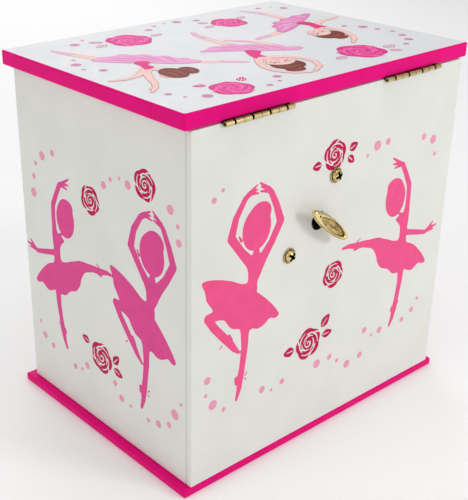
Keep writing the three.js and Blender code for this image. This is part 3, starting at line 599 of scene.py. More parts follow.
class Sheet:
    """A flat face that designs are printed on: print point (u, v) lies along its two axes."""

    def __init__(self, name, body, origin, u_axis, v_axis, outward=None, unit=UNIT):
        self.name, self.body, self.unit = name, body, unit
        self.origin, self.u_axis, self.v_axis = Vector(origin), Vector(u_axis), Vector(v_axis)
        self.normal = self.u_axis.cross(self.v_axis)
        self.flip = outward is not None and self.normal.dot(Vector(outward)) < 0
        if self.flip:
            self.normal = -self.normal

    def layer(self, name, field, region, material, slot="white_print_paper", low=0.0, thick=0.05, step=0.4):
        """Prints the field's inside as a thin solid that lies low mm above the sheet.

        The field is sampled on a grid with cells of the step's size.
        """
        corners, triangles = ink_solid(field, region, step)
        count = len(corners)
        places = [self.origin + (self.u_axis * u + self.v_axis * v) * self.unit for u, v in corners]
        vertices = [place + self.normal * ((low + thick) * MM) for place in places]
        vertices += [place + self.normal * ((low + 0.01) * MM) for place in places]
        faces = [tuple(t) for t in triangles]
        faces += [(c + count, b + count, a + count) for a, b, c in triangles]
        sides = {(p, q): True for a, b, c in triangles for p, q in ((a, b), (b, c), (c, a))}
        faces += [(p, p + count, q + count, q) for p, q in sides if (q, p) not in sides]
        if self.flip:
            faces = [face[::-1] for face in faces]
        mesh = bpy.data.meshes.new(name)
        mesh.from_pydata(vertices, [], faces)
        mesh.materials.append(material)
        finished(name, mesh, self.body)


# ---------------------------------------------------------------- motifs
def arms_up_dancer():
    arms = chains(((37, 108, 3.0), (30, 116, 2.2), (23.4, 125, 2.3), (26, 134, 1.9), (31.4, 142, 1.5),
                   (36, 144.4, 1.1)),
                  ((42, 108, 3.0), (49, 116.5, 2.2), (54.2, 125.3, 2.3), (51, 134, 1.9), (47.5, 141, 1.6),
                   (44.5, 144, 1.1)))
    torso = blob((37.4, 117), (41, 117), (41.4, 112.5), (44.5, 109), (43, 103), (40.4, 98.5), (40, 94),
                 (33, 95), (34.4, 101), (34.4, 109), (36.8, 112.5))
    tutu = blob((6.2, 108), (9, 108.9), (16, 107.2), (24, 104), (30, 100.6), (35, 98.8), (40, 93.4),
                (46, 88), (52, 81.6), (55.6, 76.2), (53, 74.6), (49.6, 75.9), (45.6, 73.6), (41.6, 73),
                (38, 74.4), (33.6, 74), (30, 77), (25, 79), (21.6, 83), (20, 87), (15, 90.4), (11.6, 95),
                (9, 99), (8.2, 103.4))
    legs = chains(((24, 88, 4), (17, 89.2, 2.7), (10, 89.6, 2.3), (13.6, 83.6, 2.1), (20.6, 75.2, 2.1),
                   (22.8, 73, 2.2), (26.4, 68, 1.7), (29.6, 64.6, 0.8)),
                  ((33.2, 78, 2.9), (33.4, 66, 2.1), (32, 55, 1.9), (30.8, 49, 2.2), (30.4, 44, 1.6),
                   (28.8, 38.6, 0.9)))
    body = union(*arms, torso, tutu, *legs, blend=1.6)
    head = union(oval(39, 125.5, 8.9, 10.6), oval(41.3, 132.6, 6.6, 5.4), blend=1.0)
    neck_curl_fingers_and_ribbons = chains(
        ((39.2, 112, 1.9), (39.2, 118, 1.9)), ((29.6, 122.2, 0.8), (28.2, 124.6, 0.4)),
        ((33, 143.4, 1.2), (38.4, 146.6, 0.45)), ((35, 143.4, 0.9), (39.4, 142.6, 0.4)),
        ((36, 144.2, 0.8), (38.6, 144.6, 0.4)), ((46, 143, 1.2), (40.4, 147.2, 0.5)),
        ((46, 142, 1.0), (40.6, 143.2, 0.4)), ((45, 143.4, 0.9), (41, 145.2, 0.4)),
        ((23, 75.6, 1.2), (24.8, 73, 0.9)), ((18.8, 72.2, 0.35), (17.4, 71, 0.3)),
        ((28.4, 50.4, 1.2), (28.2, 47.8, 0.8)), ((34, 50, 0.35), (35.4, 51.4, 0.3)),
        ((33.8, 48.6, 0.3), (35, 47.6, 0.3)))
    return union(minus(body, oval(39, 125.5, 9.6, 11.2)), head, *neck_curl_fingers_and_ribbons)


def arabesque_dancer():
    arms = chains(((148.6, 103, 2.0), (149, 112, 1.8), (148.6, 119, 1.8), (145, 126, 1.6),
                   (141.8, 131.6, 1.5), (138.6, 133.4, 1.0)),
                  ((149.2, 92, 1.7), (158, 89.4, 1.5), (166.6, 87, 1.25), (170.4, 88.4, 1.3)))
    torso = blob((140.2, 101.4), (143, 103.4), (146.6, 104.6), (149.6, 107), (150.8, 103), (150.8, 97),
                 (150, 91), (150.6, 85.5), (144, 86.5), (144.6, 91), (144.4, 96), (142.6, 99))
    tutu = blob((122, 95.4), (128, 94.4), (134, 92.4), (140, 89.6), (145, 88.4), (150.4, 85.8),
                (157, 82.8), (162.6, 78), (167, 73.2), (169.8, 69), (167.6, 67.9), (163.6, 69.2),
                (159, 67), (155, 67.6), (151, 69.8), (146.4, 69.2), (141.6, 70), (137, 74),
                (131.6, 76.4), (128, 80.6), (126.4, 85), (123.6, 89.6), (122, 92.4))
    legs = chains(((127, 92, 3), (116, 95, 1.9), (110.4, 95.6, 1.8), (104, 97.2, 1.2), (99.4, 97.2, 0.7)),
                  ((149, 74, 2.7), (148.6, 62, 2.0), (147.2, 53, 1.8), (146.2, 47.4, 2.2),
                   (145, 41.6, 1.5), (143.2, 37.4, 0.8)))
    body = union(arms[0], torso, arms[1], tutu, *legs, blend=1.4)
    head = union(oval(138.2, 114, 7.8, 10.2, 6), oval(136.6, 121.4, 5.6, 3.9), blend=1.2)
    chin_fingers_and_ribbons = chains(
        ((142.6, 104.4, 0.8), (144.4, 104, 0.5)),
        ((140.6, 132.4, 1.1), (133.6, 136.8, 0.5)), ((139.6, 132.6, 0.9), (134, 133.6, 0.45)),
        ((140, 131.6, 0.8), (135.2, 131.2, 0.4)), ((169, 88, 1.2), (173, 91.6, 0.45)),
        ((170, 88.4, 1.1), (176.4, 89, 0.4)), ((169, 87.2, 0.9), (174, 87, 0.4)),
        ((111, 94.6, 1.3), (108.6, 93.8, 0.7)), ((110, 97.6, 0.35), (112.6, 99, 0.3)),
        ((144.4, 48.4, 1.0), (143.4, 46.8, 0.7)), ((148.6, 49.4, 0.35), (149.6, 51, 0.3)))
    return union(minus(body, oval(138.2, 114, 8.5, 10.8, 6)), head, *chin_fingers_and_ribbons)


ARMS_UP, ARABESQUE = arms_up_dancer(), arabesque_dancer()
ARMS_UP_REGION, ARABESQUE_REGION = (2, 60, 36, 150), (96, 180, 34, 140)


def rose_parts(cx, cy, radius, turn):
    """A stencilled rose: its scalloped disc, and the lines between its petals."""
    def at(degrees, share):
        angle = math.radians(turn + degrees)
        return cx + radius * share * math.cos(angle), cy + radius * share * math.sin(angle)

    def arc(start, sweep, r0, r1, steps=8):
        points = []
        for k in range(steps + 1):
            share = k / steps
            width = 0.05 * radius * (1.2 - 0.6 * abs(2 * share - 1))
            points.append((*at(start + sweep * share, r0 + (r1 - r0) * share), width))
        return chain(*points)

    lobes = [oval(*at(72 * k, 0.42), 0.62 * radius, 0.62 * radius) for k in range(5)]
    strokes = [arc(20, 430, 0.32, 0.05, 14)]
    for start in (0, 120, 240):
        strokes += [arc(start + 10, 112, 0.80, 0.66), arc(start + 44, 28, 1.08, 0.76, 4),
                    arc(start + 70, 108, 0.54, 0.42), arc(start + 96, 26, 0.68, 0.50, 4)]
    return union(*lobes, blend=0.08 * radius), union(*strokes)


def turned_points(cx, cy, turn, *places):
    """Points given from a centre, turned about it; any further numbers of a point are kept."""
    c, s = math.cos(math.radians(turn)), math.sin(math.radians(turn))
    return [(cx + u * c - v * s, cy + u * s + v * c, *rest) for u, v, *rest in places]


def leaf(cx, cy, length, width, turn):
    """A pointed leaf with a slit along its middle."""
    half = length / 2
    body = blob(*turned_points(cx, cy, turn, (-half, 0), (-0.35 * half, -width / 2),
                               (0.45 * half, -0.38 * width), (half, 0), (0.45 * half, 0.38 * width),
                               (-0.35 * half, width / 2)))
    slit = chain(*turned_points(cx, cy, turn, (-0.75 * half, 0, 0.35), (0.35 * half, 0, 0.25)))
    return minus(body, slit)


def dots(*places):
    return union(*(oval(x, y, r, r) for x, y, r in places))


# Dots are (x, y, radius). Roses are (x, y, radius, turn, leaves), each leaf (x, y, length, width, turn).
BACK_DOTS = (
    (13, 146, 1.5), (18, 149.5, 1), (120, 146.6, 2.6), (128, 147, 1.8), (113, 143, 1), (157, 143.2, 1.8),
    (165, 140, 2.4), (167.6, 131.6, 1.2), (10, 56.8, 2), (9, 49, 1.1), (13.6, 42, 2.6), (20.6, 36.5, 1.3),
    (46, 37, 2), (52.6, 34, 1), (60, 36, 1.7), (85.4, 36, 2.5), (95, 36.4, 1.7), (101.2, 31.8, 1.3),
    (109.4, 26.4, 2.4), (119.8, 28, 1.9), (122, 42.4, 1.8), (128.4, 37, 1), (135, 37.8, 2),
    (154.2, 37.4, 1.6), (162.2, 40.8, 1.8), (166.4, 46.6, 1.2),
)
SIDE_DOTS = (
    (31, 142, 1.7), (21.4, 138, 2.4), (15, 132.4, 1.3), (12.4, 124.6, 1.6), (11.2, 115.4, 2.5),
    (73.6, 137.8, 2), (79, 142.2, 1.3), (86, 144.8, 0.9), (92.4, 143.4, 2.2), (122.4, 141, 2.3),
    (127.4, 134.6, 1.2), (128, 127, 1.9), (9, 38.4, 1.2), (12.6, 31.2, 2.1), (20.4, 27.8, 1.7),
    (41.2, 24.2, 1.8), (47.6, 25.6, 1.1), (52.6, 30, 2), (77, 31, 1.7), (82.2, 24.4, 2), (89.8, 23.6, 1),
    (104, 22.6, 1.3), (112, 24.6, 2), (120, 28.4, 1.6), (124.6, 36.6, 2.7), (129, 44.4, 1),
)
BACK_ROSES = (
    (89, 149, 7.4, 20, ((77, 146, 6, 4.4, 185), (102, 150.4, 6.2, 4.6, 20), (100.8, 144.2, 5.8, 4, -40))),
    (93.4, 85, 7.2, 55, ()),
    (78, 51, 8.6, 100, ((64, 51, 7.4, 5.2, 180), (90, 60, 8, 5.4, 45), (91.8, 52, 7.4, 4.6, 0))),
)
SIDE_ROSES = (
    (62, 126.6, 7.4, 60, ()),
    (104.8, 147, 7.5, 10, ()),
    (66, 41, 8.6, 140,
     ((52.6, 46.4, 6.4, 4.4, 165), (78.6, 45.2, 7.4, 4.6, 50), (80, 38.2, 7.4, 4.6, -15))),
)
BACK_DANCERS = (("arms_up", ARMS_UP, ARMS_UP_REGION), ("arabesque", ARABESQUE, ARABESQUE_REGION))
SIDE_DANCERS = (("arms_up", moved(ARMS_UP, 70, -11), (72, 130, 24, 140)),
                ("arabesque", mirrored_about(moved(ARABESQUE, 0, -5), 88.75), (0, 82, 28, 136)))
PRINT_WIDTH, SIDE_PRINT_WIDTH = 182, 134
DOTS_TOP = 156


def print_dancers(sheet, dancers, ink, step=0.35):
    for name, field, region in dancers:
        sheet.layer(f"{sheet.name}_{name}", field, region, ink, step=step)


def print_roses(sheet, roses, dot_places, width=PRINT_WIDTH):
    for k, (cx, cy, radius, turn, leaves) in enumerate(roses):
        disc, lines = rose_parts(cx, cy, radius, turn)
        reach = radius + (10 if leaves else 1)
        region = (cx - reach - 2, cx + reach + 2, cy - reach, cy + reach)
        field = union(minus(disc, lines), *(leaf(*one) for one in leaves))
        sheet.layer(f"{sheet.name}_rose_{k + 1}", field, region, ROSE_INK, step=0.22)
    sheet.layer(f"{sheet.name}_dots", dots(*dot_places), (4, width - 4, 2, DOTS_TOP), DOT_INK)


def print_case():
    back = Sheet("back_print", "case", (back_high.x, back_high.y, base_top), (-1, 0, 0), (0, 0, 1))
    print_dancers(back, BACK_DANCERS, SILHOUETTE_BACK)
    print_roses(back, BACK_ROSES, BACK_DOTS)
    right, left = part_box("right_side_panel"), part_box("left_side_panel")
    for name, x, y, along in (("right", right[1].x, right[0].y, 1), ("left", left[0].x, left[1].y, -1)):
        side = Sheet(f"{name}_print", "case", (x, y, base_top), (0, along, 0), (0, 0, 1))
        print_dancers(side, SIDE_DANCERS, SILHOUETTE_SHADED_SIDE)
        print_roses(side, SIDE_ROSES, SIDE_DOTS, SIDE_PRINT_WIDTH)


# ---------------------------------------------------------------- lid illustration
LID_COLOURS = {
    "skin": (249, 206, 200), "skin_line": (216, 134, 146), "bodice": (232, 8, 128), "tutu": (241, 168, 214),
    "tutu_deep": (228, 132, 192), "tutu_line": (247, 184, 222), "tutu_edge": (202, 86, 150),
    "slipper": (236, 186, 210), "rose": (228, 36, 138), "rose_line": (251, 104, 184),
    "rose_edge": (186, 52, 116), "leaf": (212, 152, 180), "dot": (208, 138, 170), "face": (84, 36, 36),
    "cheek": (244, 150, 160),
}
LID_INKS = {name: ink_material(f"lid_{name}_ink", colour) for name, colour in LID_COLOURS.items()}
LID_INKS["hair"] = ink_material("lid_hair_ink", (126, 30, 8), 0.8)
LID_INKS["hair_light"] = ink_material("lid_hair_light_ink", (168, 78, 44), 0.85)


def face_parts(cx, cy, turn):
    """A simple drawn face: closed lashes, a small mouth and round cheeks."""
    def line(*places):
        return chain(*turned_points(cx, cy, turn, *places))

    lashes = []
    for side in (-1, 1):
        x = 3.0 * side
        lashes.append(line((x - 1.5, 0.4, 0.22), (x, -0.5, 0.34), (x + 1.5, 0.4, 0.22)))
        lashes.append(line((x + 1.5 * side, 0.4, 0.22), (x + 2.3 * side, 0.9, 0.12)))
    nose = line((0.1, -1.6, 0.16), (0.35, -2.1, 0.2))
    mouth = line((-1.1, -3.7, 0.18), (0, -4.2, 0.34), (1.1, -3.7, 0.18))
    cheeks = [oval(x, y, 1.3, 1.0) for x, y in turned_points(cx, cy, turn, (-4.2, -2.1), (4.2, -2.1))]
    return union(*lashes, nose), mouth, union(*cheeks)


def strokes(widths, *lines):
    """Lines through three points each, fine at both ends and of the given width between them."""
    return chains(*(((*a, 0.3), (*b, width), (*c, 0.3)) for width, (a, b, c) in zip(widths, lines)))


FOLD_WIDTHS = (0.8, 0.9, 0.9, 0.9, 0.8)
LID_DANCERS = (
    {
        "name": "left", "region": (2, 80, 14, 112), "face": None, "tutu_inks": ("tutu", "tutu_deep"),
        "skin": chains(
            ((33, 75, 2.4), (27, 82, 1.9), (22.6, 90, 1.7), (19.6, 97, 1.5), (15, 103.4, 1.1),
             (10, 107.4, 0.6)),
            ((15.4, 103, 0.9), (12, 103.6, 0.4)),
            ((33, 75, 2.4), (27, 79, 1.8), (21, 83, 1.6), (13, 84.4, 1.1), (6, 82, 0.5)),
            ((34, 76, 2.2), (36, 84, 1.6))) + (oval(31, 91, 2.2, 3.2),),
        "legs": chains(((27, 50, 2.6), (22.4, 38, 2.1), (20, 30, 1.9)),
                       ((55, 78, 2.4), (62, 85, 1.8), (68, 89.4, 1.6))),
        "slippers": chains(((20.4, 31, 1.9), (18.6, 25, 1.7), (17.4, 19.4, 0.8)),
                           ((67.4, 88.6, 1.7), (71.6, 92.6, 1.5), (76, 97, 0.7))),
        "bodice": blob((30.4, 76.6), (34, 77.4), (36.6, 75.2), (36.8, 70.6), (40.6, 67.6), (38, 63.4),
                       (33.6, 63.6), (32.6, 70)),
        "tutu": blob((22.4, 46), (21.8, 49.4), (27, 57), (33.6, 63.6), (40, 69), (46, 75.4), (52, 80),
                     (58, 82.6), (60.2, 80), (58.4, 76), (58.8, 72.4), (54.6, 69.4), (54, 63.4),
                     (49.6, 60.6), (47.6, 54.4), (42.4, 51.8), (39.4, 46.8), (34, 47.4), (28.6, 45.4)),
        "folds": strokes(FOLD_WIDTHS, ((25, 48.4), (33, 58), (38, 64)), ((31, 48.4), (37, 57), (41, 66)),
                         ((38.4, 51), (42, 59), (44, 68)), ((45.6, 56), (46.6, 63), (46.6, 71)),
                         ((51.6, 63), (51.6, 69.6), (50.4, 76))),
        "hair": (oval(36.6, 89.6, 6.4, 8.8, 8), oval(44.8, 90.4, 4.6, 6.0, 10)),
        "curls": strokes((0.7, 0.6, 0.6), ((33.4, 83.6), (35.4, 90), (34.6, 96.6)),
                         ((38, 83.4), (39.4, 89.6), (38.4, 96.4)), ((44, 86), (46.4, 90.4), (44.4, 95))),
    },
    {
        "name": "middle", "region": (68, 120, 30, 134), "face": (87.8, 107.6, 8),
        "tutu_inks": ("tutu", "tutu_deep"),
        "skin": (oval(87.6, 108.4, 7.6, 8.0),) + chains(
            ((85, 95, 2.2), (79, 101.6, 1.7), (75, 109, 1.6), (74.6, 117, 1.4), (78.6, 124.4, 1.2),
             (85.4, 128.8, 0.8)),
            ((88.4, 96, 2.2), (96.4, 101.4, 1.7), (101, 109, 1.6), (100.8, 117, 1.4), (96.4, 124.2, 1.2),
             (88.6, 128.6, 0.8)),
            ((86.6, 94, 2.6), (87, 101, 1.8))),
        "legs": chains(((91.6, 68, 2.6), (92.4, 55, 2.0), (92.6, 46, 1.9)),
                       ((110, 84, 2.5), (108.4, 75, 1.9), (104.6, 67, 1.8))),
        "slippers": chains(((92.6, 46.6, 1.9), (93.4, 40, 1.7), (95.4, 34, 0.8)),
                           ((105, 67.6, 1.8), (101.2, 62, 1.6), (97, 58, 0.8))),
        "bodice": blob((83, 95.4), (86.4, 94.2), (89.8, 95.6), (90.2, 90.6), (94.8, 86.4), (92.8, 81.2),
                       (89.4, 80.8), (86, 86.6), (84.2, 91.6)),
        "tutu": blob((72, 67.6), (75.6, 71.4), (83, 76), (90, 81), (97, 86.4), (104, 91), (110.8, 95.6),
                     (116, 94.4), (116.2, 90.6), (111.4, 88), (110.8, 82.8), (105.8, 79.4), (103.4, 73.4),
                     (97.4, 71), (93.8, 65.8), (88, 66.6), (83, 63.8), (78, 66.2)),
        "folds": strokes(FOLD_WIDTHS, ((76, 67.8), (84, 72.8), (89, 78)),
                         ((83.4, 66), (89.4, 72.6), (92, 79.6)), ((90, 68), (95, 75.4), (96.6, 83)),
                         ((97, 72), (100.6, 79.4), (101.4, 87)),
                         ((104, 78), (107, 84.6), (107.4, 91))),
        "hair": (minus(oval(87, 112.6, 8.8, 8.0, 6), oval(88.2, 105.2, 8.2, 7.4, 8)),
                 oval(83.8, 120.8, 5.0, 3.6, 20)),
        "curls": strokes((0.6, 0.5), ((80.6, 113), (85, 117.4), (91, 117)),
                         ((80.6, 121), (84, 122.6), (87.4, 120.6))),
    },
    {
        "name": "right", "region": (108, 188, 6, 108), "face": (146.8, 78, -16),
        "tutu_inks": ("tutu_deep", "tutu_line"),
        "skin": (oval(147.4, 79, 7.6, 8.0, -18),) + chains(
            ((158.4, 69, 2.2), (159.2, 77, 1.8), (158.6, 85, 1.6), (155.4, 92.4, 1.4), (150, 98.8, 1.2),
             (143.6, 103.4, 0.7)),
            ((157.4, 66, 2.2), (163.6, 60.6, 1.6), (171, 58, 1.4), (178, 57.8, 1.1), (183.6, 57, 0.6)),
            ((156.6, 66, 2.6), (151.8, 73.6, 1.9))),
        "legs": chains(((136, 61.6, 2.5), (127, 64.2, 1.9), (121, 65, 1.8)),
                       ((157.6, 45, 2.6), (158.2, 32, 2.0), (157.6, 23, 1.9))),
        "slippers": chains(((121.6, 64.8, 1.8), (116, 65.6, 1.6), (111, 67, 0.8)),
                           ((157.6, 23.6, 1.9), (156, 17, 1.7), (153, 10.4, 0.8))),
        "bodice": blob((152.6, 70.2), (156.4, 69.4), (160.2, 70.4), (160.2, 63.6), (161.4, 56.6),
                       (158.6, 52.6), (153.2, 54.4), (155.2, 61.6)),
        "tutu": blob((132, 64), (138, 63.6), (146, 60.4), (154, 56), (162, 51.6), (169.4, 47.4),
                     (177.6, 41), (175, 39.2), (170.4, 40.4), (166, 38.8), (161, 41.2), (155.6, 40.2),
                     (151, 43.8), (145.8, 43.8), (142.4, 48.4), (137.8, 51), (136.6, 56.2), (133, 59.6)),
        "folds": strokes(FOLD_WIDTHS, ((135, 61), (143.4, 57), (152, 55)),
                         ((138.4, 54), (147, 52.4), (155, 52.6)), ((146, 46), (152, 47.4), (158, 50.6)),
                         ((156, 42.4), (160, 45), (163.6, 48.6)),
                         ((166.4, 41.2), (168.4, 43.4), (170, 45.6))),
        "hair": (minus(oval(147.6, 83.4, 8.8, 8.0, -16), oval(146, 76, 8.0, 7.4, -14)),
                 oval(148.4, 91.4, 4.4, 3.2, -12)),
        "curls": strokes((0.6, 0.5), ((141.6, 85.4), (147, 89), (153, 86.6)),
                         ((145.4, 91.4), (148.6, 93), (151.6, 91))),
    },
)
LID_ROSES = (                     # (x, y, radius, turn, leaves, ink of the leaves)
    (40, 125, 9.6, 15, ((53, 117, 7, 4.6, -40), (31.4, 113, 6.4, 4.6, 210)), "rose"),
    (133, 118, 12, 40, ((115.4, 120.6, 8, 5, 175), (151.4, 120.4, 9, 5.6, -8), (147.6, 127.6, 7, 4.4, 40)),
     "leaf"),
    (60, 26, 11.6, 75, ((41.6, 27, 8, 5, 165), (43.6, 19, 8, 5, 215), (78, 25.6, 8, 5, -10)), "leaf"),
    (127, 28, 9.8, 120, ((112, 29, 7.6, 4.8, 170), (115, 20, 6.4, 4.4, 230), (141, 23, 8, 4.8, -20)),
     "leaf"),
)
LID_DOTS = (
    (24, 127, 2.6), (16, 122, 1), (13, 114.4, 1.7), (56, 132, 1.7), (64, 130, 1.2), (68.4, 124, 2.1),
    (15, 65, 2.1), (9, 58, 1.2), (11, 49, 2.6), (15, 41, 1.2), (33, 16, 2.6), (41, 11, 1.2), (82, 14, 2.1),
    (90, 8.4, 1.4), (98, 7, 1), (106, 8.4, 2.7), (117, 12.4, 2.1), (162, 122.6, 1.7), (171, 117, 2.4),
    (176, 109, 2.1), (179, 100, 1.5), (177, 91.4, 1.7), (175, 83, 2.7), (169, 75, 1.7), (178, 20, 2.5),
    (166, 11, 1.7), (174, 13, 1),
)
LID_WIDTH, LID_DEPTH = (lid_high.x - lid_low.x) / UNIT, (lid_high.y - lid_low.y) / UNIT
LID_MARGIN = 0.7
LID_PAPER_THICK, LID_INK_THICK, LID_LEVEL = 0.08, 0.03, 0.02      # mm
OUTLINE = 0.3


def print_lid():
    """The lid's paper and its drawing, whose inks overlap: level -1 lies on the paper and 8 on top."""
    top = Sheet("lid_print", "lid", (lid_high.x, lid_low.y, lid_high.z), (-1, 0, 0), (0, 1, 0), (0, 0, 1))
    paper = rounded_rectangle(LID_MARGIN, LID_WIDTH - LID_MARGIN, LID_MARGIN, LID_DEPTH - LID_MARGIN, 1.0)
    top.layer("lid_print_paper", paper, (0, LID_WIDTH, 0, LID_DEPTH), LID_PAPER, "lid_wrap",
              thick=LID_PAPER_THICK, step=0.9)

    def lay(name, fields, region, colour, level, step=0.35, blend=0.0):
        top.layer(f"lid_print_{name}", union(*fields, blend=blend), region, LID_INKS[colour], "lid_wrap",
                  LID_PAPER_THICK + LID_LEVEL * (level + 1), LID_INK_THICK, step)

    def outlined(fields):
        return [grown(field, OUTLINE) for field in fields]

    for dancer in LID_DANCERS:
        name, region = dancer["name"], dancer["region"]
        tutu_ink, fold_ink = dancer["tutu_inks"]
        lay(f"{name}_leg_edges", outlined(dancer["legs"] + dancer["slippers"]), region, "skin_line", -1)
        lay(f"{name}_legs", dancer["legs"], region, "skin", 0)
        lay(f"{name}_slippers", dancer["slippers"], region, "slipper", 1)
        lay(f"{name}_tutu_edge", outlined([dancer["tutu"]]), region, "tutu_edge", 1)
        lay(f"{name}_tutu", [dancer["tutu"]], region, tutu_ink, 2)
        lay(f"{name}_folds", dancer["folds"], region, fold_ink, 3, 0.25)
        lay(f"{name}_skin_edges", outlined(dancer["skin"]), region, "skin_line", 3, blend=0.8)
        lay(f"{name}_skin", dancer["skin"], region, "skin", 4, blend=0.8)
        lay(f"{name}_bodice", [dancer["bodice"]], region, "bodice", 5)
        if dancer["face"]:
            cx, cy, turn = dancer["face"]
            small = (cx - 9, cx + 9, cy - 9, cy + 9)
            lines, mouth, cheeks = face_parts(cx, cy, turn)
            lay(f"{name}_cheeks", [cheeks], small, "cheek", 5, 0.15)
            lay(f"{name}_lashes", [lines], small, "face", 6, 0.1)
            lay(f"{name}_mouth", [mouth], small, "bodice", 6, 0.1)
        lay(f"{name}_hair", dancer["hair"], region, "hair", 7)
        lay(f"{name}_curls", dancer["curls"], region, "hair_light", 8, 0.2)
    for k, (cx, cy, radius, turn, leaves, leaf_ink) in enumerate(LID_ROSES):
        disc, lines = rose_parts(cx, cy, radius, turn)
        region = (cx - radius - 14, cx + radius + 14, cy - radius - 4, cy + radius + 4)
        outlines = [minus(shape, grown(shape, -0.75)) for shape in (leaf(*one) for one in leaves)]
        lay(f"rose_{k + 1}_leaves", outlines, region, leaf_ink, -1, 0.2)
        lay(f"rose_{k + 1}_edge", [grown(disc, 0.35)], region, "rose_edge", 0, 0.3)
        lay(f"rose_{k + 1}", [disc], region, "rose", 1, 0.3)
        lay(f"rose_{k + 1}_lines", [lines], region, "rose_line", 2, 0.25)
    lay("dots", [dots(*LID_DOTS)], (2, LID_WIDTH - 2, 2, LID_DEPTH - 2), "dot", -1, 0.4)


# ---------------------------------------------------------------- front prints
def both_sides(*places):
    """Dots, and their mirror images about the middle of the front."""
    return places + tuple((PRINT_WIDTH - x, y, radius) for x, y, radius in places)


def rose_spray(cx, cy, turn):
    """A rose with a leaf on each side."""
    return cx, cy, 7.6, turn, ((cx - 12.4, cy, 6.6, 4.4, 180), (cx + 12.4, cy, 6.6, 4.4, 0))


FRONT_ROWS = {
    "fascia": (
        ((91, 27, 9.4, 15, ((76.6, 26, 7.6, 5, 180), (105.4, 26, 7.6, 5, 0), (103, 33, 6.4, 4.4, 35))),),
        both_sides((62, 38, 2), (55, 41, 1.2), (48, 38.6, 1.7), (66, 14, 1.6), (58, 12, 1), (50, 14, 2.2),
                   (16, 40, 2), (13, 32, 1.2), (12, 20, 1.8), (17, 12, 1.1)),
    ),
    "lower_drawer": (
        (rose_spray(44, 20, 60), rose_spray(138, 20, 200)),
        (*both_sides((16, 24, 2), (13, 17, 1.2), (22, 12, 1.6)),
         (68, 27, 1.6), (72, 13, 2), (110, 27, 2), (114, 13, 1.4)),
    ),
    "middle_drawer": (
        ((62, 22, 6.2, 100, ((51.6, 20, 5.8, 4, 190), (71.6, 27, 5.8, 4, 40))),
         (120, 22, 6.2, 240, ((110.4, 27, 5.8, 4, 140), (130.4, 20, 5.8, 4, -10)))),
        both_sides((16, 26, 1.2), (22, 19, 2.1), (30, 25, 1.5), (38, 16, 1.1)),
    ),
    "upper_drawer": (
        (rose_spray(44, 19, 150), rose_spray(138, 19, 20)),
        (*both_sides((16, 14, 2), (13, 22, 1.2), (22, 28, 1.6)),
         (70, 12, 1.6), (73, 26, 2), (109, 12, 2), (113, 26, 1.4)),
    ),
}
SMALL_DANCER = 0.38               # the fascia's silhouettes, as a share of the case's
SMALL_DANCER_DROP = 10


def print_front():
    for row, (roses, dot_places) in FRONT_ROWS.items():
        body, node = ("case", "front_fascia") if row == "fascia" else (row, f"{row}_front")
        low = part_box(node)[0]
        origin = Vector((back_low.x, low.y, low.z))
        print_roses(Sheet(f"{row}_print", body, origin, (1, 0, 0), (0, 0, 1)), roses, dot_places)
        if row == "fascia":
            for dancer, across in zip(BACK_DANCERS, (22, 100)):
                start = origin + Vector((across, 0, -SMALL_DANCER_DROP)) * UNIT
                small = Sheet(f"{row}_print", body, start, (1, 0, 0), (0, 0, 1), None, UNIT * SMALL_DANCER)
                print_dancers(small, (dancer,), SILHOUETTE_BACK, 0.5)


# ---------------------------------------------------------------- soft and moulded pieces
BENCH = 10                        # these are worked at ten times their size, then shrunk into place
BENCH_MM = BENCH * MM
CLOTH_FRAMES, CLOTH_PRESSURE = 20, 4


def angles(count):
    return [2 * math.pi * j / count for j in range(count)]


def bands(rings, around, first=0):
    """Quads that join rings of points, each to the next, where every ring has as many points."""
    faces = []
    for i in range(rings - 1):
        for j in range(around):
            a, b = (first + i * around + k for k in (j, (j + 1) % around))
            faces.append((a, b, b + around, a + around))
    return faces


def turned_over(faces):
    return [(a, d, c, b) for a, b, c, d in faces]


def bench_mesh(name, vertices, faces):
    mesh = bpy.data.meshes.new(name)
    mesh.from_pydata([Vector(v) * BENCH_MM for v in vertices], [], faces)
    return mesh


def worked(mesh, *modifiers):
    """The mesh after its modifiers, each given as (kind, settings)."""
    bench = add_object("bench", mesh)
    for kind, settings in modifiers:
        modifier = bench.modifiers.new(kind.lower(), kind)
        for key, value in settings.items():
            setattr(modifier, key, value)
    shown = bench.evaluated_get(bpy.context.evaluated_depsgraph_get())
    made = bpy.data.meshes.new_from_object(shown)
    bpy.data.objects.remove(bench)
    return made


def remesh(voxel):
    return "REMESH", {"mode": "VOXEL", "voxel_size": voxel * BENCH_MM}


def cut(mesh, tool):
    """The mesh with the tool's solid taken away."""
    cutter = add_object("cutter", tool)
    made = worked(mesh, ("BOOLEAN", {"operation": "DIFFERENCE", "object": cutter, "solver": "EXACT"}))
    bpy.data.objects.remove(cutter)
    return made


def place_piece(name, mesh, material, body, placing, replaces, sharp_angle=None, inside=None):
    """Shrinks a bench mesh, moves it by the matrix and makes it a piece that rides on the body.

    inside is (material, test): faces whose centre, in mm, passes the test take that material instead.
    """
    mesh.materials.clear()
    mesh.materials.append(material)
    mesh.shade_smooth()
    if inside:
        mesh.materials.append(inside[0])
        for polygon in mesh.polygons:
            polygon.material_index = int(inside[1](polygon.center / BENCH_MM))
    mesh.transform(placing @ Matrix.Scale(1 / BENCH, 4))
    if sharp_angle:
        mesh.set_sharp_from_angle(angle=math.radians(sharp_angle))
    piece = finished(name, mesh, body)
    if replaces:
        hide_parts(*replaces)
    return piece


def coordinates(mesh):
    return np.array([v.co[:] for v in mesh.vertices])


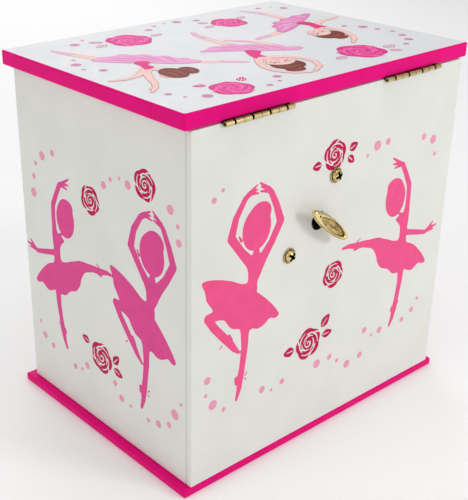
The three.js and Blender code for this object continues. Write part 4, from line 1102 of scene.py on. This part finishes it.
def swollen(mesh, voxel, cap):
    """The mesh remeshed and blown up by a cloth simulation; no point moves further than cap mm."""
    mesh = worked(mesh, remesh(voxel))
    bench = add_object("cloth_bench", mesh)
    settings = bench.modifiers.new("cloth", "CLOTH").settings
    settings.use_pressure = True
    settings.uniform_pressure_force = CLOTH_PRESSURE
    settings.effector_weights.gravity = 0
    settings.quality = 6
    scene = bpy.context.scene
    for step in range(1, CLOTH_FRAMES + 1):
        scene.frame_set(step)
        bpy.context.view_layer.update()
    rest = coordinates(mesh)
    moves = coordinates(bench.evaluated_get(bpy.context.evaluated_depsgraph_get()).data) - rest
    bpy.data.objects.remove(bench)
    scene.frame_set(1)
    length = np.linalg.norm(moves, axis=1)
    moves *= np.minimum(1, cap * BENCH_MM / np.maximum(length, 1e-12))[:, None]
    mesh.vertices.foreach_set("co", (rest + moves).ravel())
    return mesh


ROLL_STATIONS, ROLL_SIDES = 26, 22
ROLL_VOXEL, ROLL_SWELL = 1.3, 0.5                       # mm
ROLL_UNDER = 0.03                 # height of the flat underside, as a share of the roll's
PUCKER_START, PUCKER_FOLDS, PUCKER_DEPTH = 0.72, 9, 0.22
ROLL_CORE = 3                     # height that the folds spread from, mm


def roll_mesh(name, half_length, half_width, height):
    vertices = []
    for i in range(ROLL_STATIONS + 1):
        t = 2 * i / ROLL_STATIONS - 1
        full = (1 - abs(t) ** 7) ** 0.5 * 0.88 + 0.06
        for angle in angles(ROLL_SIDES):
            y = half_width * full * math.cos(angle) * 0.96
            z = height * (0.92 * full * max(0.0, math.sin(angle)) + ROLL_UNDER)
            if math.sin(angle) < 0:
                y *= 1 - 0.04 * abs(math.sin(angle))
            vertices.append((half_length * 0.965 * t, y, z + (1 - full) * 1.4))
    count = ROLL_STATIONS * ROLL_SIDES
    faces = [tuple(range(ROLL_SIDES))[::-1], tuple(range(count, count + ROLL_SIDES))]
    return bench_mesh(name, vertices, faces + bands(ROLL_STATIONS + 1, ROLL_SIDES))


def make_ring_rolls():
    """Velvet rolls stuffed tight: flat underneath, crowned on top, puckered where their ends are sewn."""
    for k in range(3):
        node = f"ring_roll_{k + 1}"
        low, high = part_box(node)
        size = (high - low) / MM
        half_length = size.x / 2
        mesh = swollen(roll_mesh(node, half_length, size.y / 2, size.z), ROLL_VOXEL, ROLL_SWELL)
        for vertex in mesh.vertices:
            x, y, z = vertex.co / BENCH_MM
            end = max(0.0, abs(x) / half_length - PUCKER_START) / (1 - PUCKER_START)
            turn = math.atan2(z - ROLL_CORE, y)
            folds = math.sin(PUCKER_FOLDS * turn + 0.7 * k) * PUCKER_DEPTH * end ** 1.5
            wander = noise.noise(Vector((x * 0.12, y * 0.2, k * 5.0))) * 0.22
            outward = Vector((0, y, z - ROLL_CORE)).normalized() * (folds + wander)
            vertex.co = vertex.co + outward * BENCH_MM
            vertex.co.z = max(0.02 * BENCH_MM, vertex.co.z)
        mesh = worked(mesh, ("SUBSURF", {"levels": 1}))
        middle = Vector(((low.x + high.x) / 2, (low.y + high.y) / 2, low.z))
        roll = place_piece(f"velvet_{node}", mesh, VELVET, "case",
                           Matrix.Translation(middle), [node])


def limb_mesh(name, limbs, ovals=(), discs=()):
    """Round joints (x, y, z, radius) with tapers between them, ovals and flat discs, in mm."""
    bm = bmesh.new()
    for joints in limbs:
        for x, y, z, radius in joints:
            bmesh.ops.create_uvsphere(bm, u_segments=16, v_segments=10, radius=radius,
                                      matrix=Matrix.Translation((x, y, z)))
        for first, second in zip(joints, joints[1:]):
            start, end = Vector(first[:3]), Vector(second[:3])
            turn = (end - start).to_track_quat("Z", "Y").to_matrix().to_4x4()
            bmesh.ops.create_cone(bm, cap_ends=True, segments=16, radius1=first[3], radius2=second[3],
                                  depth=(end - start).length,
                                  matrix=Matrix.Translation((start + end) / 2) @ turn)
    for place, radii in ovals:
        bmesh.ops.create_uvsphere(bm, u_segments=24, v_segments=16, radius=1,
                                  matrix=Matrix.Translation(place) @ Matrix.Diagonal((*radii, 1)))
    for z, radius, thickness in discs:
        bmesh.ops.create_cone(bm, cap_ends=True, segments=40, radius1=radius, radius2=radius * 0.94,
                              depth=thickness, matrix=Matrix.Translation((0, 0, z)))
    mesh = bpy.data.meshes.new(name)
    bm.to_mesh(mesh)
    bm.free()
    mesh.transform(Matrix.Scale(BENCH_MM, 4))
    return mesh


def mirrored(*limbs):
    """The limbs, and their mirror images about the dancer's middle."""
    return limbs + tuple(tuple((-x, y, z, radius) for x, y, z, radius in limb) for limb in limbs)


# The dancer's painted parts: limbs, ovals (centre, radii) and discs (height, radius, thickness), then the
# voxel and smoothing that mould them into one, and the paint. All is in mm from the point of the foot.
DANCER_PARTS = {
    "skin": (
        (*mirrored(((1.7, 0, 23, 0.62), (3.2, -0.1, 24.9, 0.52), (4.2, -0.2, 27.3, 0.46),
                    (3.6, -0.3, 29.6, 0.42), (2.1, -0.4, 31.3, 0.36), (0.8, -0.5, 32, 0.24))),
         ((-1.7, 0, 23, 0.62), (1.7, 0, 23, 0.62)), ((0, 0, 20, 1.1), (0, 0, 21.6, 1.4)),
         ((0, 0, 23, 0.66), (0, 0, 25.8, 0.6)), ((0, -0.75, 26.3, 0.72), (0, -0.2, 26.6, 1))),
        (((0, -0.05, 21.9), (1.75, 1.1, 1.4)), ((0, -0.1, 27.7), (1.72, 1.78, 2.05)),
         ((0, -1.86, 27.35), (0.22, 0.24, 0.32))),
        (), 0.19, 4, SKIN,
    ),
    "tights": (
        (((0, 0, 1.2, 0.42), (0, 0, 2.2, 0.55), (0, 0, 3.8, 0.52), (0, 0.12, 6.4, 0.86),
          (0, -0.05, 9.6, 0.72), (0.05, 0, 12.9, 1.15), (0.35, 0, 15.5, 1.45)),
         ((0.9, 0, 15.5, 1.35), (2.2, -0.1, 12.9, 1.06), (3.4, -0.2, 10.5, 0.74), (2.3, -0.2, 9, 0.74),
          (1.2, -0.25, 7.5, 0.46), (0.8, -0.25, 6, 0.32))),
        (((0, 0, 15.9), (1.75, 1.25, 1.3)),),
        (), 0.2, 5, TIGHTS,
    ),
    "bodice": (
        (((0, 0, 16.4, 1.5), (0, 0, 18.4, 1.18), (0, 0, 20.8, 1.5)),
         ((-0.75, -0.62, 21.5, 0.72), (0.75, -0.62, 21.5, 0.72)),
         *mirrored(((0.95, -1.1, 22, 0.15), (1.2, -0.35, 23.62, 0.15), (1, 0.95, 22.2, 0.15)))),
        (((0, -0.02, 20.9), (1.92, 1.26, 1.3)),),
        (), 0.15, 3, BODICE,
    ),
    "hair": (
        (), (((0, 0.28, 28.1), (1.86, 1.82, 2.02)), ((0, 0.75, 30.5), (1.05, 1.05, 0.85))),
        (), 0.17, 3, HAIR,
    ),
    "shoes": (
        (((0, 0, 1.15, 0.48), (0, 0, 2.6, 0.62)), ((0, 0, 3.7, 0.62), (0, 0, 4, 0.62)),
         ((0.79, -0.25, 5.9, 0.38), (1, -0.25, 6.9, 0.48))),
        (), ((0.45, 2.6, 0.9),), 0.14, 3, SHOE_SATIN,
    ),
}
DANCER_LASHES = mirrored(((0.4, -1.83, 27.9, 0.07), (0.68, -1.76, 27.78, 0.1), (1, -1.6, 27.95, 0.07)))
DANCER_LIPS = (((-0.28, -1.83, 26.62, 0.09), (0, -1.88, 26.56, 0.12), (0.28, -1.83, 26.62, 0.09)),)
TUTU_LAYERS = ((8.6, 0.5, 0.9, 20), (8.9, 0.0, 1.6, 22), (8.3, -0.5, 2.3, 18))  # reach, lift, droop, pleats
TUTU_RINGS, TUTU_SIDES = 9, 220
WAIST_RADIUS, WAIST_HEIGHT, PLEAT_DEPTH, NET_THICK = 1.25, 16.9, 0.42, 0.08


def make_dancer():
    """A moulded ballerina on one point, painted in several colours, with a net skirt of three layers."""
    centre = middle_of(*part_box("turntable"))
    placing = Matrix.Translation((centre.x, centre.y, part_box("dancer_figure")[0].z))

    def part(name, mesh, material, replaces=()):
        return place_piece(f"dancer_{name}", mesh, material, "dancer", placing, replaces)

    for name, (limbs, ovals, discs, voxel, smoothing, paint) in DANCER_PARTS.items():
        mesh = worked(limb_mesh(name, limbs, ovals, discs), remesh(voxel),
                      ("SMOOTH", {"factor": 0.5, "iterations": smoothing}))
        part(f"figure_{name}", mesh, paint, replaces=["dancer_figure"] if name == "skin" else ())
    part("figure_lashes", limb_mesh("lashes", DANCER_LASHES), FACE_PAINT)
    part("figure_lips", limb_mesh("lips", DANCER_LIPS), LIP_PAINT)
    for layer, (reach, lift, droop, pleats) in enumerate(TUTU_LAYERS):
        vertices = []
        for i in range(TUTU_RINGS + 1):
            t = i / TUTU_RINGS
            for angle in angles(TUTU_SIDES):
                wave = math.sin(pleats * angle + 1.3 * layer) + 0.35 * math.sin(7 * angle + layer)
                ruffle = 1 + 0.02 * math.sin(2 * pleats * angle) * t
                r = WAIST_RADIUS + (reach - WAIST_RADIUS) * t * ruffle
                z = WAIST_HEIGHT + lift * (1 - t) - droop * t * t * 0.5 + PLEAT_DEPTH * wave * t ** 0.8
                vertices.append((r * math.cos(angle), r * math.sin(angle), z))
        mesh = bench_mesh("tutu", vertices, turned_over(bands(TUTU_RINGS + 1, TUTU_SIDES)))
        mesh = worked(mesh, ("SOLIDIFY", {"thickness": NET_THICK * BENCH_MM, "offset": 0}))
        skirt = part(f"tutu_layer_{layer + 1}", mesh, TULLE, ["dancer_tutu"] if layer == 0 else ())


SPRING_WIRE, SPRING_TURNS, SPRING_STEPS, SPRING_SIDES = 0.2 * MM, 5, 28, 10


def make_dancer_spring():
    """A coil of wire between the turntable and the dancer's foot."""
    low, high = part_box("dancer_spring")
    centre = middle_of(low, high)
    coil = (high.x - low.x) / 2 - SPRING_WIRE
    bottom, top = low.z + SPRING_WIRE, high.z - SPRING_WIRE
    vertices = []
    count = SPRING_TURNS * SPRING_STEPS
    for i in range(count + 1):
        angle = 2 * math.pi * i / SPRING_STEPS
        outward = Vector((math.cos(angle), math.sin(angle), 0))
        middle = Vector((centre.x, centre.y, bottom + (top - bottom) * i / count)) + outward * coil
        for turn in angles(SPRING_SIDES):
            rise = Vector((0, 0, SPRING_WIRE * math.sin(turn)))
            vertices.append(middle + outward * SPRING_WIRE * math.cos(turn) + rise)
    last = count * SPRING_SIDES
    faces = turned_over(bands(count + 1, SPRING_SIDES))
    faces += [tuple(range(SPRING_SIDES)), tuple(range(last, last + SPRING_SIDES))[::-1]]
    mesh = bpy.data.meshes.new("dancer_spring_coil")
    mesh.from_pydata(vertices, [], faces)
    mesh.materials.append(STEEL)
    mesh.shade_smooth()
    piece = add_object("dancer_spring_coil", mesh)
    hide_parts("dancer_spring")
    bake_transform(piece)


WALL_TOP_GAP = 1.2 * MM
LINING_THICK, LID_LINING_THICK, LID_BORDER_THICK = 0.08, 0.07, 0.02     # mm
LID_LINING_INSET, HINGE_ROOM = 9, 18                    # print units


def line_tray_and_lid():
    """Flocked paper on the tray's side walls and behind its front, and a paper panel inside the lid."""
    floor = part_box("tray_floor")[1].z
    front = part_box("front_fascia")[1].y
    right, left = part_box("right_side_panel")[0].x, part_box("left_side_panel")[1].x
    height = (back_high.z - WALL_TOP_GAP - floor) / UNIT
    deep, wide = (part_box("tray_back_wall")[0].y - front) / UNIT, -2 * left / UNIT
    for name, x, along, inward, width, gap in (("right", right, (0, 1, 0), (-1, 0, 0), deep, 0.2),
                                               ("left", left, (0, 1, 0), (1, 0, 0), deep, 0.2),
                                               ("front", left, (1, 0, 0), (0, 1, 0), wide, 0.3)):
        name = f"{name}_wall_lining"
        wall = Sheet(name, "case", (x, front, floor), along, (0, 0, 1), inward)
        wall.layer(name, rounded_rectangle(gap, width - gap, 0.2, height, 0.5),
                   (-1, width + 1, -1, height + 1), LINING, "tray_lining", thick=LINING_THICK)
    panel = Sheet("lid_lining", "lid", lid_low, (1, 0, 0), (0, 1, 0), (0, 0, -1))
    region = (0, LID_WIDTH, 0, LID_DEPTH)

    def paper(inset, corner):
        start = LID_LINING_INSET + inset
        return rounded_rectangle(start, LID_WIDTH - start, start, LID_DEPTH - HINGE_ROOM - inset, corner)

    panel.layer("lid_lining_paper", paper(0, 2), region, LINING_PAPER, "tray_lining",
                thick=LID_LINING_THICK, step=0.8)
    panel.layer("lid_lining_border", minus(paper(0, 2), paper(1, 1.6)), region, ROSE_INK, "tray_lining",
                LID_LINING_THICK, LID_BORDER_THICK, 0.5)


# ---------------------------------------------------------------- turned and shaped metal
SCREW_PROFILE = ((0, -8.6), (1.3, -8.6), (1.3, 0), (3.35, 0), (3.5, 0.12), (3.5, 0.42), (3.34, 0.58),
                 (3.16, 0.54), (3.0, 0.3), (2.76, 0.28), (2.64, 0.45), (2.64, 1.1), (2.5, 1.5),
                 (2.28, 1.86), (1.86, 2.14), (1.3, 2.32), (0.6, 2.39), (0, 2.4))
SCREW_TURNS = {"upper": 0.35, "lower": 0.9}
SCREW_HEAD = 2.4                  # mm
SCREW_CROSS, LEAF_SCREW_CROSS = (2.05, 0.62, 0.7), (0.85, 0.17, -0.2)   # arm, half width, bottom
LEAF_SCREW_PROFILE = ((0, -0.4), (0.7, -0.4), (1.5, 0), (1.42, 0.07), (0.9, 0.12), (0, 0.14))
LEAF_SCREW_PLACES = ((-12.5, 3.4), (0, 6.8), (12.5, 3.4))     # along the hinge and in from the back, mm
KNOB_PROFILE = ((0, 0), (4.2, 0), (4.3, 0.3), (4.2, 0.7), (3.2, 1.1), (2.4, 1.7), (2.1, 2.6), (2.1, 3.5),
                (2.5, 4.4), (3.4, 5.2), (4.6, 6), (5.5, 6.9), (5.8, 8), (5.65, 9.1), (5.1, 10.1), (4, 10.9),
                (2.4, 11.4), (1, 11.58), (0, 11.6))
STEM_PROFILE = ((0, -6.9), (2.3, -6.9), (2.5, -6.7), (2.5, -2), (2.9, -0.7), (3, 0.1), (0, 0.1))
DRILL_PROFILE = ((0, 1.35), (0.5, 1.35), (0.62, 3), (0, 3))
QUARTER_TURN = math.pi / 2


def turned_mesh(name, profile, sides=56):
    """A closed turned piece about Z from (radius, height) pairs that start and end on the axis."""
    inner = profile[1:-1]
    vertices = [(0, 0, profile[0][1])]
    for radius, z in inner:
        vertices += [(radius * math.cos(angle), radius * math.sin(angle), z) for angle in angles(sides)]
    vertices.append((0, 0, profile[-1][1]))
    last = len(vertices) - 1
    faces = bands(len(inner), sides, 1)
    for j in range(sides):
        k = (j + 1) % sides
        faces += [(0, 1 + k, 1 + j), (last, last - sides + j, last - sides + k)]
    return bench_mesh(name, vertices, faces)


def box_mesh(half_x, half_y, low, high):
    corners = [(x, y, z) for z in (low, high)
               for x, y in ((-half_x, -half_y), (half_x, -half_y), (half_x, half_y), (-half_x, half_y))]
    return bench_mesh("box", corners, [(3, 2, 1, 0), (4, 5, 6, 7)] + bands(2, 4))


def cross_cut(mesh, arm, half_width, bottom, top=3):
    """Cuts a cross recess into the top of a screw."""
    mesh = cut(mesh, box_mesh(arm, half_width, bottom, top))
    return cut(mesh, box_mesh(half_width, arm, bottom, top))


def seat(node, depth=0.0):
    """The middle of the node's rearmost face, or depth mm forwards of it."""
    low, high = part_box(node)
    return Vector(((low.x + high.x) / 2, high.y - depth * MM, (low.z + high.z) / 2))


def placed(place, tilt, turn=0.0):
    """Turned about its own axis, then tilted about X, then moved to the place."""
    return Matrix.Translation(place) @ Matrix.Rotation(tilt, 4, "X") @ Matrix.Rotation(turn, 4, "Z")


# The cross recess's faces, which are painted near black as shade.
def in_cross(place):
    return math.hypot(place.x, place.y) < 2.1 and 0.6 < place.z < 1.9


def make_screws():
    """Pan heads with a flange and a cross recess, painted near black inside as shade."""
    for name, turn in SCREW_TURNS.items():
        node = f"movement_screw_{name}"
        mesh = cross_cut(turned_mesh(node, SCREW_PROFILE), *SCREW_CROSS)
        place_piece(f"{node}_head_and_shank", mesh, SCREW_BRASS, "case",
                    placed(seat(node, SCREW_HEAD), -QUARTER_TURN, turn), [node], 40, (SHADE_BRASS, in_cross))


def scattered(name, mesh, placings):
    """One mesh holding a copy of the given mesh at each placing."""
    joined = bmesh.new()
    for placing in placings:
        copy = mesh.copy()
        copy.transform(placing)
        joined.from_mesh(copy)
        bpy.data.meshes.remove(copy)
    made = bpy.data.meshes.new(name)
    joined.to_mesh(made)
    joined.free()
    return made


def make_leaf_screws():
    """Three countersunk cross-head screws in each hinge leaf."""
    head = cross_cut(turned_mesh("leaf_screw", LEAF_SCREW_PROFILE, 32), *LEAF_SCREW_CROSS)
    for body, z, tilt in (("case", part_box("hinge_rail")[1].z, 0), ("lid", lid_low.z + 0.05 * MM, math.pi)):
        placings = []
        for side in ("right", "left"):
            x = middle_of(*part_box(f"{side}_hinge_pin")).x
            for along, inward in LEAF_SCREW_PLACES:
                place = Vector((x + along * MM, back_high.y - inward * MM, z)) * BENCH
                placings.append(placed(place, tilt, 0.3 + along))
        name = f"hinge_{body}_leaf_screws"
        place_piece(name, scattered(name, head, placings), SCREW_BRASS, body,
                    Matrix.Identity(4), (), 40)


def make_knobs():
    for row in ("lower", "middle", "upper"):
        node = f"{row}_drawer_knob"
        place_piece(f"{node}_turned", turned_mesh(node, KNOB_PROFILE, 64), PALE_BRASS, f"{row}_drawer",
                    placed(seat(node), QUARTER_TURN), [node], 50)


KEY_SIDES, KEY_TURN = 72, math.radians(-39.5)
KEY_LENGTH, KEY_WIDTH, KEY_THICKNESS, KEY_POINT = 29.6, 6.3, 2.2, 0.04
RECESS_LENGTH, RECESS_WIDTH, RECESS_FLOOR, RECESS_POINT = 19.4, 4.4, 1.2, 0.3
RECESS_X, KEY_HOLE_X = -1.2, 10.4
AGED_HALF = (9.75, 2.23)          # the aged brass reaches just past the recess's walls
KEY_FLANGE = ((1.6, 0), (0.5, 0.06), (0.1, 0.3), (0, 0.6), (0.1, 0.95), (0.5, 1.08))    # trim, height
KEY_RIM_TRIM = 0.7
KEY_RIM = ((0, 1.0), (0.06, 1.4), (0.2, 1.85), (0.4, 2.14), (0.58, 2.2), (0.76, 2.12), (0.9, 1.92),
           (0.98, 1.74), (1, 1.5))      # share of the way in to the recess, height
KEY_FLOOR_TRIMS = (0.06, 0.2, 0.6, 1, 1.4, 1.8, 2.2, 2.6, 3, 3.4, 3.8)


def pointed_oval(length, width, centre_x, point):
    """An oval along X as a ring of points; point is how far its ends are drawn in."""
    points = []
    for angle in angles(KEY_SIDES):
        taper = 1 - point * math.cos(angle) ** 2
        points.append((centre_x + length / 2 * math.cos(angle), width / 2 * math.sin(angle) * taper))
    return points


def key_oval(trim):
    return pointed_oval(KEY_LENGTH - trim, KEY_WIDTH - trim, 0, KEY_POINT)


def recess_oval(trim):
    return pointed_oval(RECESS_LENGTH - 2.4 * trim, RECESS_WIDTH - trim, RECESS_X, RECESS_POINT)


def in_recess(place):
    return math.hypot((place.x - RECESS_X) / AGED_HALF[0], place.y / AGED_HALF[1]) < 1 and place.z > 1


def handle_mesh():
    """Rings from the back's hub, round the flange and rim, down into the recess and in to its hub."""
    rings = [[(x, y, z) for x, y in key_oval(trim)] for trim, z in KEY_FLANGE]
    edge, mouth = key_oval(KEY_RIM_TRIM), recess_oval(0)
    for share, z in KEY_RIM:
        rings.append([(x + (u - x) * share, y + (v - y) * share, z) for (x, y), (u, v) in zip(edge, mouth)])
    for trim in KEY_FLOOR_TRIMS:
        rings.append([(x, y, RECESS_FLOOR + 0.2 * noise.noise(Vector((x * 2.1, y * 2.1, 3.1))))
                      for x, y in recess_oval(trim)])
    vertices = [point for ring in rings for point in ring] + [(RECESS_X, 0, RECESS_FLOOR)]
    hub = len(vertices) - 1
    first = hub - KEY_SIDES
    faces = bands(len(rings), KEY_SIDES) + [range(KEY_SIDES)[::-1]]
    faces += [(hub, first + j, first + (j + 1) % KEY_SIDES) for j in range(KEY_SIDES)]
    return bench_mesh("winding_key", vertices, faces)


def make_key():
    """The key: an oval handle with a raised rim round a blank pebbled recess, on a turned stem."""
    drill = turned_mesh("drill", DRILL_PROFILE, 16)
    drill.transform(Matrix.Translation((KEY_HOLE_X * BENCH_MM, 0, 0)))
    placing = placed(seat("winding_key", KEY_THICKNESS), -QUARTER_TURN, KEY_TURN)
    place_piece("winding_key_handle", cut(handle_mesh(), drill), KEY_BRASS, "winding_train",
                placing, ["winding_key"], 50, (AGED_BRASS, in_recess))
    # The stem is painted near black: painted shade, as it lies in the shadow of the handle and the hole.
    place_piece("winding_key_stem", turned_mesh("key_stem", STEM_PROFILE), SHADE_BRASS, "winding_train",
                placing, (), 50)


make_stage()
make_camera()
dress_nodes()
bare_hole_edges()
print_case()
print_lid()
print_front()
make_ring_rolls()
make_dancer()
make_dancer_spring()
line_tray_and_lid()
make_screws()
make_leaf_screws()
make_knobs()
make_key()
